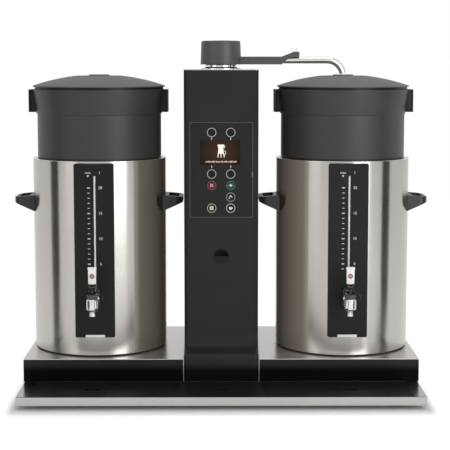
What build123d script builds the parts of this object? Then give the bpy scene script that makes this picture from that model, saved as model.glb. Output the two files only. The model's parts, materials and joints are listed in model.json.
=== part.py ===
from build123d import *
import math
import os

# A twin coffee brewer: a tower with controls, boiler and swinging outlet between two lift-off
# insulated containers, on one base with a drip tray along the front.
# Millimetres. X runs left to right, Y front to back, Z up. The origin is on the floor, under the
# middle of the base. A container is built about its own upright axis and then set in place.

# ---- base ----
PLATFORM_W = 1080.0      # raised platform, end to end
PLATFORM_D = 438.0       # raised platform, riser face to back
BASE_D = 608.0           # whole base, drip tray's front to platform's back
PLATFORM_H = 84.7        # deck above the feet's tops
TRAY_W = 1072.0          # drip tray, end to end
TRAY_H = 22.5            # drip tray's front face
FOOT_H = 12.0            # rubber foot
FOOT_R = 16.0
FOOT_CHAMFER = 1.5
FOOT_INSET = 60.0        # foot's axis from the edges of the base
SHEET = 1.5              # folded steel sheet
PAN_T = 1.5              # base pan's sheet
RISER_T = 3.0            # black riser panel
RISER_CORNER_R = 3.0     # its rounded top corners
TRAY_LIP = 5.0           # steel left in front of the drip grids
GRID_T = 3.0             # drip grid's plate
GRID_RECESS = 1.0        # depth of the pads in the grid
GRID_PITCH = 64.0        # pad to pad
GRID_RIB = 4.0           # rib left between two pads
SIDE_PADS = 6            # pads in a side grid
CENTRE_PADS = 3          # pads in the centre grid
PADS_OUTSIDE = 2.5       # pads from a container's axis to the outer end of its grid
DRAIN_W = 43.0           # drain slot, long way
DRAIN_D = 15.0           # drain slot, short way
GAP = 0.3                # between fixed neighbours

# ---- tower ----
TOWER_W = 204.0
TOWER_SETBACK = 60.0     # tower's front face, in from the riser's face
TOWER_BACK_INSET = 20.0  # back cover, in from the back of the platform
TOWER_H = 871.0          # top plate above the feet's tops
CASING_T = 1.5           # black casing sheet
CASING_EDGE_R = 9.0      # upright front edges of the casing
FOOT_SLOPE = 75.0        # slope of the swept foot, from upright
SWEEP_R = 40.0           # hollow of the swept foot
NOSE_R = 14.0            # nose of the swept foot
TOP_PLATE_T = 2.0
BACK_COVER_T = 2.0
RAIL_T = 3.0             # base pan's rails inside the casing
RAIL_H = 120.0
LUG = 14.0               # screw lugs in the casing's back corners
LUG_END = 1.5            # lug left past a screw hole's inner end
LUG_ROWS = 4
SCREW_R = 2.0
SCREW_HEAD_R = 4.0
SCREW_HEAD_T = 2.2
SCREW_L = 12.0
SCREW_PLAY = 0.05

# ---- control panel ----
PANEL_W = 176.0
PANEL_H = 264.0
PANEL_Z = 597.0          # middle of the panel above the feet's tops
PANEL_PROUD = 2.0
PANEL_RIM = 4.0          # rim of the panel in front of the casing
PANEL_NECK = 3.5         # panel behind the casing's front face
PANEL_POST_R = 4.0
PANEL_POST_INSET = 22.0
BOARD_DEPTH = 22.0       # control board behind the casing's front face
BOARD_T = 1.6
DISPLAY_W = 109.0
DISPLAY_H = 67.0
DISPLAY_X = -3.0
DISPLAY_UP = 47.8        # middle of the display above the panel's middle
DISPLAY_T = 2.0
DISPLAY_LEDGE = 3.0
KEY_R = 13.3
KEY_X = 26.0             # key column from the tower's middle
KEY_PLAY = 0.25
KEY_PROUD = 0.6
KEY_FLANGE_R = 14.8
KEY_FLANGE_T = 1.2
KEY_STEM_R = 3.0
KEY_TRAVEL = 1.2
SWITCH_SIZE = 12.0
SWITCH_H = 5.0
KEY_UP = {               # (side, height above the panel's middle)
    "key_select_top_left": (-1, 102.9),
    "key_select_top_right": (1, 102.9),
    "key_select_low_left": (-1, -10.8),
    "key_select_low_right": (1, -10.8),
    "key_stop": (-1, -41.9),
    "key_start": (1, -41.9),
    "key_hot_water": (1, -74.1),
    "key_timer": (-1, -104.4),
    "key_half_batch": (1, -104.4),
}

# ---- round service cup below the panel ----
CUP_Z = 359.4            # its axis above the feet's tops
CUP_R = 22.0
CUP_RIM = 2.0
CUP_PROUD = 1.0
CUP_DEPTH = 28.0
CUP_WALL = 1.6

# ---- water parts inside the tower ----
BOILER_R = 62.0
BOILER_Z = 430.0         # underside above the floor
BOILER_H = 300.0
BOILER_T = 1.5
BOILER_PORT_R = 9.0
BRACKET_W = 60.0
BRACKET_T = 10.0
ELEMENT_R = 4.0
ELEMENT_SPREAD = 14.0
ELEMENT_BEND_R = 13.0
ELEMENT_PLAY = 1.0
ELEMENT_H = 220.0
ELEMENT_FLANGE_R = 32.0
ELEMENT_FLANGE_T = 5.0
RISER_PIPE_R = 8.0
PIPE_WALL = 1.5
SUPPLY_R = 5.0
SUPPLY_BEND = 12.0
INLET_X = -84.0
INLET_Z = 150.0
THREAD_R = 13.2          # 3/4 inch pipe thread
THREAD_L = 12.0
INLET_HEX = 17.0
INLET_HEX_T = 4.0
VALVE = 30.0
COIL_R = 13.0
COIL_H = 34.0
GLAND_X = 70.0
GLAND_Z = 150.0
GLAND_R = 11.0
GLAND_HEX = 14.5
GLAND_BORE_R = 5.0
GLAND_OUT = 14.0
GLAND_IN = 10.0
RELAY_W = 120.0
RELAY_H = 120.0
RELAY_Z = 580.0
RELAY_STANDOFF = 12.0
RELAY_BOX_W = 18.0
RELAY_BOX_D = 16.0
RELAY_BOX_H = 28.0
RELAY_BOX_UP = -10.0     # middle of the relays above the board's middle

# ---- swivel outlet ----
COLLAR_FLANGE_R = 57.0
COLLAR_FLANGE_T = 3.0
COLLAR_NECK_R = 44.0
COLLAR_NECK_H = 10.0
SPINDLE_R = 12.0
SPINDLE_H = 42.0
SPINDLE_BORE_R = 6.5
SPINDLE_TAIL = 15.0
RUNNING = 0.05           # radial play of a running fit
CAP_R = 58.0
CAP_TOP_R = 55.5
CAP_H = 66.0
CAP_T = 3.0
CAP_EDGE = 2.0
CAP_CROWN = 1.0
HUB_R = 21.0
PIPE_R = 9.75
PIPE_UP = 25.7           # outlet pipe's axis above the tower
PIPE_BEND_R = 47.0
PIPE_TURN = 78.0         # how far the pipe's end turns down
ARM_T = 2.4
ARM_L = 171.0            # trough's end from the swivel's axis
ARM_OPEN = 0.2           # pipe left above the trough's sides
GRIP_L = 51.0
GRIP_FOOT_L = 21.0       # the grip's underside, from the trough's end
GRIP_FOOT_DROP = 3.8     # the underside's outer end, below the trough's sides
GRIP_RISE = 14.5         # the grip's peak above the trough's sides
GRIP_BACK = 14.0         # the peak's inner end, in from the grip's end
GRIP_NOSE = (-0.8, 5.7)  # the grip's rounded end, above the trough's sides
GRIP_ROUND = (3.0, 2.0)  # how far its lower and upper corners are drawn in
KNOB_R = 10.0
KNOB_H = 10.0
KNOB_IN = 4.0            # knob's edge in from the grip's end
KNOB_STEM_R = 5.5
KNOB_STEM_H = 4.0
KNOB_FLARE_H = 5.5
KNOB_EDGE = 1.0

# ---- containers ----
CAN_SPACING = 690.0      # container axis to container axis
CAN_BACK = 226.0         # container axis from the back of the platform
CAN_R = 188.0
CAN_H = 537.8            # deck to the bright rim
CAN_WALL = 1.2
RIM_W = 12.0
RIM_H = 7.5
PLINTH_R = 183.0
PLINTH_H = 4.0
PLINTH_W = 4.0
VESSEL_R = 151.5         # inside: 72.1 litres for each metre of height
VESSEL_T = 1.0
VESSEL_FLOOR = 155.3     # inside floor above the deck
POCKET_R = 110.0         # heater pocket in the vessel's floor
POCKET_H = 36.0
HANDLE_OUT = 49.0        # handle's reach from the shell
HANDLE_W = 112.0
HANDLE_TOP = 433.3       # handle's top at the shell, above the deck
HANDLE_DROP = 5.0        # its top falls this much to the outer end
HANDLE_H = 45.5          # height at the shell
HANDLE_END_H = 15.0      # height at the outer end
HANDLE_WALL = 9.0        # handle left between the shell and the hand slot
HANDLE_END_WALL = 11.0
HANDLE_SIDE_WALL = 13.0
HANDLE_ROOT = 8.0        # how far the scoop starts inside the shell, before it is cut to it
HANDLE_CORNER_R = 20.0
SLOT_CORNER_R = 6.0
TAP_PANEL_W = 108.0
TAP_PANEL_Z = 56.1       # lower end above the deck
TAP_PANEL_H = 476.4
TAP_PANEL_PROUD = 6.0
TAP_PANEL_CORNER_R = 4.0
NOTCH_W = 55.0
NOTCH_H = 7.5
GLASS_R = 3.0
GLASS_BORE_R = 2.0
GLASS_X = 2.0
GLASS_TOP = 500.1        # above the deck
GLASS_SINK = 1.0         # glass's axis behind the panel's face
TAP_OUT = 74.0           # tap's axis in front of the shell
TAP_Z = 167.3            # shank's axis above the deck
SHANK_R = 10.0
SHANK_BORE_R = 6.0
TAP_PLATE_W = 28.0
TAP_PLATE_H = 50.0
TAP_PLATE_PROUD = 10.0
TAP_PLATE_CORNER_R = 3.0
TAP_BODY_R = 17.2
TAP_BODY_H = 28.0
TAP_BODY_DROP = 6.0      # body's middle below the shank's axis
TAP_COLLAR_R = 15.0
TAP_COLLAR_H = 12.5
NOZZLE_R = 8.5
NOZZLE_BORE_R = 5.5
NOZZLE_H = 19.5
NOZZLE_TOP_R = 15.5
LUG_W = 6.0
LUG_R = 8.0
PIVOT_UP = 10.0          # lever's pivot above the collar
PIVOT_R = 2.5
CHEEK_T = 6.0
CHEEK_LIP = 0.5          # cheeks' round beyond the lug's
LEVER_PULL = 35.0        # degrees that the lever turns
LEVER_W = 23.7
LEVER_PAD_H = 46.0
LEVER_PAD_UP = 17.5      # pad's lower edge above the pivot
LEVER_PAD_T = 9.0
LEVER_CORNER_R = 2.0

# ---- filter basket and lid ----
BASKET_R = 174.5
BASKET_T = 3.0
BASKET_Z = 124.5         # foot of the skirt above the rim
STEP_IN = 5.0            # the basket's foot stands in from its drum
DRUM_UP = 4.5            # drum's lower edge above the rim
SKIRT_TOP_Z = 192.5      # basket's edge above the rim
SKIRT_R = 186.0
SKIRT_STEP = 2.0
EDGE_W = 8.0             # width of the basket's top edge
SPIGOT_PLAY = 0.6
BASKET_FLOOR = 15.0      # floor's edge below the vessel's flange
OUTLET_R = 12.0
OUTLET_DROP = 44.0       # outlet's end below the vessel's flange
EAR_R = 195.0
EAR_W = 80.0
EAR_H = 64.0
EAR_T = 3.0
EAR_STEP = 5.0           # the ear's webs stand in from its ends
EAR_LAP = 1.0            # ear's root inside the skirt
LID_R = 186.5
LID_T = 3.0
LID_EDGE = 2.5
LID_DOME_R = 567.0
LID_TOP = 234.0          # dome's top above the rim, were it not flat
LID_FLAT_R = 62.0        # the dome's flat middle
LID_LIP_H = 4.0          # dome's edge, under its top surface
LID_STEP = 5.5           # lid's foot, in from its lip
LID_RING_PLAY = 0.6
LID_RING_H = 10.0
LID_GROOVE_R = 78.0
LID_GROOVE_W = 3.5
LID_GROOVE_D = 1.5
LID_HUB_R = 29.0
LID_HUB_UP = 3.2         # hub's top above the flat middle
POUR_R = 14.0

# ---- places worked out from the sizes above ----
FRONT_Y = -BASE_D / 2
BACK_Y = FRONT_Y + BASE_D
RISER_Y = BACK_Y - PLATFORM_D
TRAY_Z = FOOT_H + TRAY_H
DECK_Z = FOOT_H + PLATFORM_H
DECK_UNDER_Z = DECK_Z - SHEET
TOWER_HALF = TOWER_W / 2
TOWER_BACK_Y = BACK_Y - TOWER_BACK_INSET
TOWER_FRONT_Y = RISER_Y + TOWER_SETBACK
TOWER_TOP_Z = FOOT_H + TOWER_H
CASING_TOP_Z = TOWER_TOP_Z - TOP_PLATE_T
CASING_LOW_Z = TRAY_Z + GAP
CASING_IN = TOWER_HALF - CASING_T
PANEL_MID_Z = FOOT_H + PANEL_Z
BOARD_Y = TOWER_FRONT_Y + BOARD_DEPTH
PANEL_BACK_Y = TOWER_FRONT_Y + PANEL_NECK
COVER_Y = TOWER_BACK_Y - BACK_COVER_T
CAN_X = CAN_SPACING / 2
CAN_Y = BACK_Y - CAN_BACK
CAN_Z = DECK_Z + GAP
RIM_Z = DECK_Z + CAN_H
FLANGE_Z = RIM_Z - RIM_H             # top of the vessel's flange
FLOOR_Z = DECK_Z + VESSEL_FLOOR
SHANK_Z = DECK_Z + TAP_Z
TAP_PANEL_Y = -CAN_R - TAP_PANEL_PROUD
TAP_Y = -CAN_R - TAP_OUT
TAP_LOW_Z = SHANK_Z - TAP_BODY_H / 2 - TAP_BODY_DROP
COLLAR_Z = TAP_LOW_Z + TAP_BODY_H
PIVOT_Z = COLLAR_Z + TAP_COLLAR_H + PIVOT_UP
LID_SEAT_Z = RIM_Z + SKIRT_TOP_Z + GAP
PIPE_Z = TOWER_TOP_Z + PIPE_UP
CAP_Z = TOWER_TOP_Z + COLLAR_FLANGE_T + COLLAR_NECK_H + GAP
GRID_OUT_X = CAN_X + PADS_OUTSIDE * GRID_PITCH
GRID_IN_X = GRID_OUT_X - SIDE_PADS * GRID_PITCH
CUT = 1.0                            # how far a cutting tool runs past a face
CLOSE = 0.01                         # two places this near are the same


# ---- helpers ----
def span(x, y, z):
    """A block between the given low and high x, y and z."""
    middle = ((x[0] + x[1]) / 2, (y[0] + y[1]) / 2, (z[0] + z[1]) / 2)
    return Pos(*middle) * Box(x[1] - x[0], y[1] - y[0], z[1] - z[0])


def post(radius, z, x=0.0, y=0.0):
    """An upright round bar between two heights."""
    return Pos(x, y, (z[0] + z[1]) / 2) * Cylinder(radius, z[1] - z[0])


def rod_x(radius, x, y, z):
    """A round bar along X between two places."""
    return Pos((x[0] + x[1]) / 2, y, z) * Rot(0, 90, 0) * Cylinder(radius, x[1] - x[0])


def rod_y(radius, x, y, z):
    """A round bar along Y between two places."""
    return Pos(x, (y[0] + y[1]) / 2, z) * Rot(90, 0, 0) * Cylinder(radius, y[1] - y[0])


def turned(*points):
    """A solid turned about the Z axis from (radius, height) points."""
    outline = Polyline(*[(radius, 0, height) for radius, height in points], close=True)
    return revolve(make_face(outline), Axis.Z)


def hex_y(across, x, y, z):
    """A six-sided bar along Y between two places."""
    prism = extrude(RegularPolygon(across / math.cos(math.pi / 6), 6), (y[1] - y[0]) / 2, both=True)
    return Pos(x, (y[0] + y[1]) / 2, z) * Rot(90, 0, 0) * prism


def bent_bar(path, radius, bore=0.0):
    """A round bar, or a tube, along a path."""
    plane = Plane(origin=path @ 0, z_dir=path % 0)
    section = plane * Circle(radius)
    if bore:
        section -= plane * Circle(bore)
    return sweep(section, path)


# ---- base ----
def base_pan():
    half = PLATFORM_W / 2 - SHEET - GAP
    front = RISER_Y + RISER_T + GAP
    back = BACK_Y - SHEET - GAP
    pan = span((-half, half), (front, back), (FOOT_H, DECK_UNDER_Z))
    pan -= span((PAN_T - half, half - PAN_T), (front + PAN_T, back - PAN_T), (FOOT_H + PAN_T, DECK_Z))
    notch = TOWER_HALF + 2 * GAP + SHEET
    pan -= span((-notch, notch), (front - CUT, front + PAN_T + CUT), (TRAY_Z, DECK_Z))
    bridge_front = TOWER_BACK_Y + GAP
    pan += span((-TOWER_HALF, TOWER_HALF), (bridge_front, back), (DECK_UNDER_Z, DECK_Z))
    pan += span((-TOWER_HALF, TOWER_HALF), (back - PAN_T, back), (DECK_UNDER_Z - PAN_T, DECK_Z))
    outer = CASING_IN - GAP
    for side in (-1, 1):
        rail = sorted((side * outer, side * (outer - RAIL_T)))
        rail_y = (TOWER_FRONT_Y + CASING_T + CASING_EDGE_R, COVER_Y - LUG - GAP)
        pan += span(rail, rail_y, (FOOT_H + PAN_T / 2, FOOT_H + RAIL_H))
    return pan


def deck(side):
    inner = TOWER_HALF + GAP
    outer = PLATFORM_W / 2
    low = FOOT_H + PAN_T + GAP
    cover = span((inner, outer), (RISER_Y, BACK_Y), (low, DECK_Z))
    under = (low - CUT, DECK_UNDER_Z)
    cover -= span((inner + SHEET, outer - SHEET), (RISER_Y - CUT, BACK_Y - SHEET), under)
    flange = (inner - CUT, inner + SHEET + CUT)
    riser_back = RISER_Y + RISER_T + GAP
    cover -= span((outer - SHEET - CUT, outer + CUT), (RISER_Y - CUT, riser_back), under)
    cover -= span(flange, (RISER_Y - CUT, riser_back + PAN_T + GAP), (low - CUT, TRAY_Z + GAP))
    cover -= span(flange, (BACK_Y - SHEET - 2 * GAP - PAN_T, BACK_Y - SHEET), under)
    return cover if side > 0 else mirror(cover, Plane.YZ)


def riser(side):
    inner = TOWER_HALF + 2 * GAP + SHEET
    outer = PLATFORM_W / 2
    panel = span((inner, outer), (RISER_Y, RISER_Y + RISER_T), (CASING_LOW_Z, DECK_UNDER_Z))
    corners = panel.edges().filter_by(Axis.Y).group_by(Axis.Z)[-1]
    panel = fillet(corners, RISER_CORNER_R)
    return panel if side > 0 else mirror(panel, Plane.YZ)


def drip_tray():
    half = TRAY_W / 2
    back = RISER_Y + RISER_T
    tray = span((-half, half), (FRONT_Y, back), (FOOT_H, TRAY_Z))
    well_y = (FRONT_Y + TRAY_LIP, RISER_Y - GAP)
    inside_y = (FRONT_Y + SHEET, back - SHEET)
    tray -= span((SHEET - half, half - SHEET), inside_y, (FOOT_H + SHEET, TRAY_Z - SHEET))
    tray -= span((-GRID_OUT_X, GRID_OUT_X), well_y, (TRAY_Z - SHEET - CUT, TRAY_Z + CUT))
    return tray


def grid_plate(low_x, high_x, pads, drain_pad):
    """A drip grid between two places, with sunk pads, a drain slot through one of them, and legs
    at its ends and on both sides of the slot."""
    front = FRONT_Y + TRAY_LIP + GAP
    back = RISER_Y - 2 * GAP
    top = TRAY_Z - GAP
    low_x, high_x = low_x + GAP, high_x - GAP
    plate = span((low_x, high_x), (front, back), (top - GRID_T, top))
    pitch = (high_x - low_x) / pads
    for index in range(pads):
        left = low_x + index * pitch + GRID_RIB / 2
        right = left + pitch - GRID_RIB
        pad_y = (front + GRID_RIB, back - GRID_RIB)
        plate -= span((left, right), pad_y, (top - GRID_RECESS, top + CUT))
        if index == drain_pad:
            middle_x = (left + right) / 2
            middle_y = (front + back) / 2
            slot = extrude(SlotOverall(DRAIN_W, DRAIN_D), GRID_T + CUT, both=True)
            plate -= Pos(middle_x, middle_y, top - GRID_T / 2) * slot
    leg_z = (FOOT_H + SHEET + GAP, top - GRID_T / 2)
    for index in sorted({0, max(drain_pad - 1, 0), min(drain_pad + 2, pads), pads}):
        rib_x = min(max(low_x + index * pitch, low_x + GRID_RIB / 2), high_x - GRID_RIB / 2)
        leg_x = (rib_x - GRID_RIB / 2, rib_x + GRID_RIB / 2)
        plate += span(leg_x, (front + GRID_RIB, back - GRID_RIB), leg_z)
    return plate


def drip_grids():
    drain = SIDE_PADS - 1 - int(PADS_OUTSIDE)
    right = grid_plate(GRID_IN_X, GRID_OUT_X, SIDE_PADS, drain)
    return {
        "drip_grid_left": mirror(right, Plane.YZ),
        "drip_grid_centre": grid_plate(-GRID_IN_X, GRID_IN_X, CENTRE_PADS, CENTRE_PADS // 2),
        "drip_grid_right": right,
    }


def feet():
    foot_x = PLATFORM_W / 2 - FOOT_INSET
    pads = []
    for x in (-foot_x, 0.0, foot_x):
        for y in (FRONT_Y + FOOT_INSET, BACK_Y - FOOT_INSET):
            foot = post(FOOT_R, (0, FOOT_H), x, y)
            pads.append(chamfer(foot.edges().group_by(Axis.Z)[0], FOOT_CHAMFER))
    return Compound(children=pads)


# ---- tower ----
def casing_face(inset, low_z, top_z, back_y):
    """Side view of the casing, its front moved inwards by a distance."""
    drop = inset * math.tan(math.radians(FOOT_SLOPE / 2))
    nose_z = DECK_Z + NOSE_R * math.tan(math.radians(FOOT_SLOPE / 2))
    brow_z = nose_z + (TOWER_FRONT_Y - RISER_Y) / math.tan(math.radians(FOOT_SLOPE))
    foot_y, front_y = RISER_Y + inset, TOWER_FRONT_Y + inset
    corners = [
        (back_y, low_z),
        (foot_y, low_z),
        (foot_y, nose_z - drop),
        (front_y, brow_z - drop),
        (front_y, top_z),
        (back_y, top_z),
    ]
    radii = [0, 0, NOSE_R - inset, SWEEP_R + inset, 0, 0]
    outline = FilletPolyline(*corners, radius=radii, close=True)
    return Plane.YZ * make_face(outline)


def casing_block(inset, low_z, top_z, back_y):
    block = extrude(casing_face(inset, low_z, top_z, back_y), TOWER_HALF - inset, both=True)
    front = RISER_Y + inset - CLOSE
    rear = TOWER_FRONT_Y + inset + CLOSE
    edges = []
    for edge in block.edges():
        on_side = abs(abs(edge.center().X) - TOWER_HALF + inset) < CLOSE
        level = abs(edge.tangent_at(0.5).Y) > 1 - CLOSE and edge.length > CASING_EDGE_R
        if on_side and front < edge.center().Y < rear and not level:
            edges.append(edge)
    return fillet(edges, CASING_EDGE_R - inset)


def lug_heights():
    low = DECK_Z + 2 * LUG
    high = CASING_TOP_Z - 2 * LUG
    return [low + index * (high - low) / (LUG_ROWS - 1) for index in range(LUG_ROWS)]


def lug_places():
    """Middles of the back screws, as (x, z)."""
    x = CASING_IN - GAP - LUG / 2
    return [(side * x, z) for side in (-1, 1) for z in lug_heights()]


def tower_casing():
    casing = casing_block(0, CASING_LOW_Z, CASING_TOP_Z, TOWER_BACK_Y)
    casing -= casing_block(CASING_T, CASING_LOW_Z - CUT, CASING_TOP_Z + CUT, TOWER_BACK_Y + CUT)
    window_x = PANEL_W / 2 - PANEL_RIM + GAP
    window_z = PANEL_H / 2 - PANEL_RIM + GAP
    front = (TOWER_FRONT_Y - CUT, TOWER_FRONT_Y + CASING_T + CUT)
    casing -= span((-window_x, window_x), front, (PANEL_MID_Z - window_z, PANEL_MID_Z + window_z))
    casing -= rod_y(CUP_R - CUP_RIM + GAP, 0, front, FOOT_H + CUP_Z)
    for x, z in lug_places():
        side = math.copysign(1, x)
        reach = sorted((x - side * LUG / 2, side * (CASING_IN + CASING_T / 2)))
        casing += span(reach, (COVER_Y - LUG, COVER_Y), (z - LUG / 2, z + LUG / 2))
        casing -= rod_y(SCREW_R + SCREW_PLAY, x, (COVER_Y - LUG + LUG_END, COVER_Y + CUT), z)
    return casing


def back_cover():
    half = CASING_IN - GAP
    cover = span((-half, half), (COVER_Y, TOWER_BACK_Y), (CASING_LOW_Z, CASING_TOP_Z))
    hole_y = (COVER_Y - CUT, TOWER_BACK_Y + CUT)
    for x, z in lug_places():
        cover -= rod_y(SCREW_R + SCREW_PLAY, x, hole_y, z)
    cover -= rod_y(THREAD_R + GAP, INLET_X, hole_y, INLET_Z)
    cover -= rod_y(GLAND_R + GAP, GLAND_X, hole_y, GLAND_Z)
    return cover


def back_screws():
    screws = []
    for x, z in lug_places():
        screw = rod_y(SCREW_HEAD_R, x, (TOWER_BACK_Y, TOWER_BACK_Y + SCREW_HEAD_T), z)
        screw += rod_y(SCREW_R, x, (TOWER_BACK_Y - SCREW_L, TOWER_BACK_Y + SCREW_HEAD_T / 2), z)
        screws.append(screw)
    return Compound(children=screws)


def top_plate():
    plate = span((-TOWER_HALF, TOWER_HALF), (TOWER_FRONT_Y, TOWER_BACK_Y), (CASING_TOP_Z, TOWER_TOP_Z))
    corners = plate.edges().filter_by(Axis.Z).group_by(Axis.Y)[0]
    plate = fillet(corners, CASING_EDGE_R)
    return plate - post(SPINDLE_R + GAP, (CASING_TOP_Z - CUT, TOWER_TOP_Z + CUT), 0, CAN_Y)


# ---- control panel ----
def key_place(name):
    side, up = KEY_UP[name]
    return side * KEY_X, PANEL_MID_Z + up


def display_block(margin, y):
    """A block as large as the display, with a margin all round."""
    half_w, half_h = DISPLAY_W / 2 + margin, DISPLAY_H / 2 + margin
    middle = PANEL_MID_Z + DISPLAY_UP
    return span((DISPLAY_X - half_w, DISPLAY_X + half_w), y, (middle - half_h, middle + half_h))


def panel_bezel():
    half_w, half_h = PANEL_W / 2, PANEL_H / 2
    front = TOWER_FRONT_Y - PANEL_PROUD
    face_z = (PANEL_MID_Z - half_h, PANEL_MID_Z + half_h)
    bezel = span((-half_w, half_w), (front, TOWER_FRONT_Y), face_z)
    bezel = fillet(bezel.edges().filter_by(Axis.Y), PANEL_RIM)
    neck_x, neck_z = half_w - PANEL_RIM, half_h - PANEL_RIM
    bezel += span((-neck_x, neck_x), (TOWER_FRONT_Y, PANEL_BACK_Y),
                  (PANEL_MID_Z - neck_z, PANEL_MID_Z + neck_z))
    for name in KEY_UP:
        x, z = key_place(name)
        bezel -= rod_y(KEY_R + KEY_PLAY, x, (front - CUT, PANEL_BACK_Y + CUT), z)
    bezel -= display_block(GAP, (front - CUT, front + DISPLAY_T + GAP))
    bezel -= display_block(-DISPLAY_LEDGE, (front, PANEL_BACK_Y + CUT))
    for side in (-1, 1):
        for up in (-1, 1):
            x = side * (half_w - PANEL_POST_INSET)
            z = PANEL_MID_Z + up * (half_h - PANEL_POST_INSET)
            bezel += rod_y(PANEL_POST_R, x, (PANEL_BACK_Y - CUT, BOARD_Y), z)
    return bezel


def display_window():
    front = TOWER_FRONT_Y - PANEL_PROUD
    return display_block(0, (front, front + DISPLAY_T))


def control_board():
    half_w = PANEL_W / 2 - PANEL_POST_INSET / 2
    half_h = PANEL_H / 2 - PANEL_POST_INSET / 2
    board = span((-half_w, half_w), (BOARD_Y, BOARD_Y + BOARD_T),
                 (PANEL_MID_Z - half_h, PANEL_MID_Z + half_h))
    module_front = TOWER_FRONT_Y - PANEL_PROUD + DISPLAY_T + 2 * GAP
    board += display_block(-DISPLAY_LEDGE - GAP, (module_front, BOARD_Y + BOARD_T / 2))
    for name in KEY_UP:
        x, z = key_place(name)
        half = SWITCH_SIZE / 2
        switch_y = (BOARD_Y - SWITCH_H, BOARD_Y + BOARD_T / 2)
        board += span((x - half, x + half), switch_y, (z - half, z + half))
    return board


def key(name):
    x, z = key_place(name)
    front = TOWER_FRONT_Y - PANEL_PROUD - KEY_PROUD
    flange = PANEL_BACK_Y + GAP
    button = rod_y(KEY_R, x, (front, flange + KEY_FLANGE_T / 2), z)
    button = chamfer(button.edges().group_by(Axis.Y)[0], KEY_PROUD / 2)
    button += rod_y(KEY_FLANGE_R, x, (flange, flange + KEY_FLANGE_T), z)
    stem_end = BOARD_Y - SWITCH_H - KEY_TRAVEL - GAP
    button += rod_y(KEY_STEM_R, x, (flange, stem_end), z)
    return button


def service_cup():
    z = FOOT_H + CUP_Z
    front = TOWER_FRONT_Y - CUP_PROUD
    barrel_r = CUP_R - CUP_RIM
    cup = rod_y(CUP_R, 0, (front, TOWER_FRONT_Y), z)
    cup = chamfer(cup.edges().group_by(Axis.Y)[0], CUP_PROUD / 2)
    cup += rod_y(barrel_r, 0, (TOWER_FRONT_Y, TOWER_FRONT_Y + CUP_DEPTH), z)
    hollow = rod_y(barrel_r - CUP_WALL, 0, (front - CUT, TOWER_FRONT_Y + CUP_DEPTH - CUP_WALL), z)
    lower = span((-CUP_R, CUP_R), (front - 2 * CUT, front + CUP_PROUD + CUP_WALL), (z - CUP_R, z))
    return cup - (hollow - lower)


# ---- water parts ----
def boiler():
    top = BOILER_Z + BOILER_H
    tank = post(BOILER_R, (BOILER_Z, top), 0, CAN_Y)
    for z in (BOILER_Z + BRACKET_T, top - 2 * BRACKET_T):
        arm = span((-BRACKET_W / 2, BRACKET_W / 2), (CAN_Y, COVER_Y), (z, z + BRACKET_T))
        tank += arm
    port_x = -BOILER_R - BOILER_PORT_R
    element_hole = ELEMENT_SPREAD + ELEMENT_R + ELEMENT_PLAY
    tank += rod_x(BOILER_PORT_R, (port_x, 0), CAN_Y, supply_top())
    tank += post(BOILER_PORT_R + PIPE_WALL, (top - CUT, top + BOILER_PORT_R), 0, CAN_Y)
    tank -= post(BOILER_R - BOILER_T, (BOILER_Z + BOILER_T, top - BOILER_T), 0, CAN_Y)
    tank -= post(element_hole, (BOILER_Z - CUT, BOILER_Z + 2 * BOILER_T), 0, CAN_Y)
    tank -= post(RISER_PIPE_R - PIPE_WALL, (top - 2 * BOILER_T, top + CUT + BOILER_PORT_R), 0, CAN_Y)
    tank -= rod_x(SUPPLY_R - PIPE_WALL, (port_x - CUT, -BOILER_R / 2), CAN_Y, supply_top())
    return tank


def supply_top():
    """Height where the supply pipe enters the boiler."""
    return BOILER_Z + 4 * BRACKET_T


def heating_element():
    low = BOILER_Z - ELEMENT_FLANGE_T - 2 * ELEMENT_R
    high = BOILER_Z + ELEMENT_H
    hairpin = FilletPolyline(
        (-ELEMENT_SPREAD, CAN_Y, low),
        (-ELEMENT_SPREAD, CAN_Y, high),
        (ELEMENT_SPREAD, CAN_Y, high),
        (ELEMENT_SPREAD, CAN_Y, low),
        radius=ELEMENT_BEND_R,
    )
    element = bent_bar(hairpin, ELEMENT_R)
    return element + post(ELEMENT_FLANGE_R, (BOILER_Z - ELEMENT_FLANGE_T, BOILER_Z), 0, CAN_Y)


def valve_y():
    """Middle of the inlet valve, in front of the inlet's inner end."""
    return COVER_Y - INLET_HEX_T - VALVE / 2


def inlet_valve():
    y = valve_y()
    half = VALVE / 2
    half_x = CASING_IN - GAP + INLET_X - RAIL_T - GAP
    body = span((INLET_X - half_x, INLET_X + half), (y - half, y + half),
                (INLET_Z - half, INLET_Z + half))
    body += post(SUPPLY_R + PIPE_WALL, (INLET_Z + half - CUT, INLET_Z + half + SUPPLY_R), INLET_X, y)
    body += rod_y(COIL_R, INLET_X, (y - half - COIL_H, y - half + CUT), INLET_Z)
    return body


def supply_pipe():
    y = valve_y()
    path = FilletPolyline(
        (INLET_X, y, INLET_Z + VALVE / 2 + SUPPLY_R),
        (INLET_X, y, supply_top()),
        (INLET_X, CAN_Y, supply_top()),
        (-BOILER_R - BOILER_PORT_R, CAN_Y, supply_top()),
        radius=SUPPLY_BEND,
    )
    return bent_bar(path, SUPPLY_R, SUPPLY_R - PIPE_WALL)


def riser_pipe():
    low = BOILER_Z + BOILER_H + BOILER_PORT_R
    high = TOWER_TOP_Z - SPINDLE_TAIL
    pipe = post(RISER_PIPE_R, (low, high), 0, CAN_Y)
    return pipe - post(RISER_PIPE_R - PIPE_WALL, (low - CUT, high + CUT), 0, CAN_Y)


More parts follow.
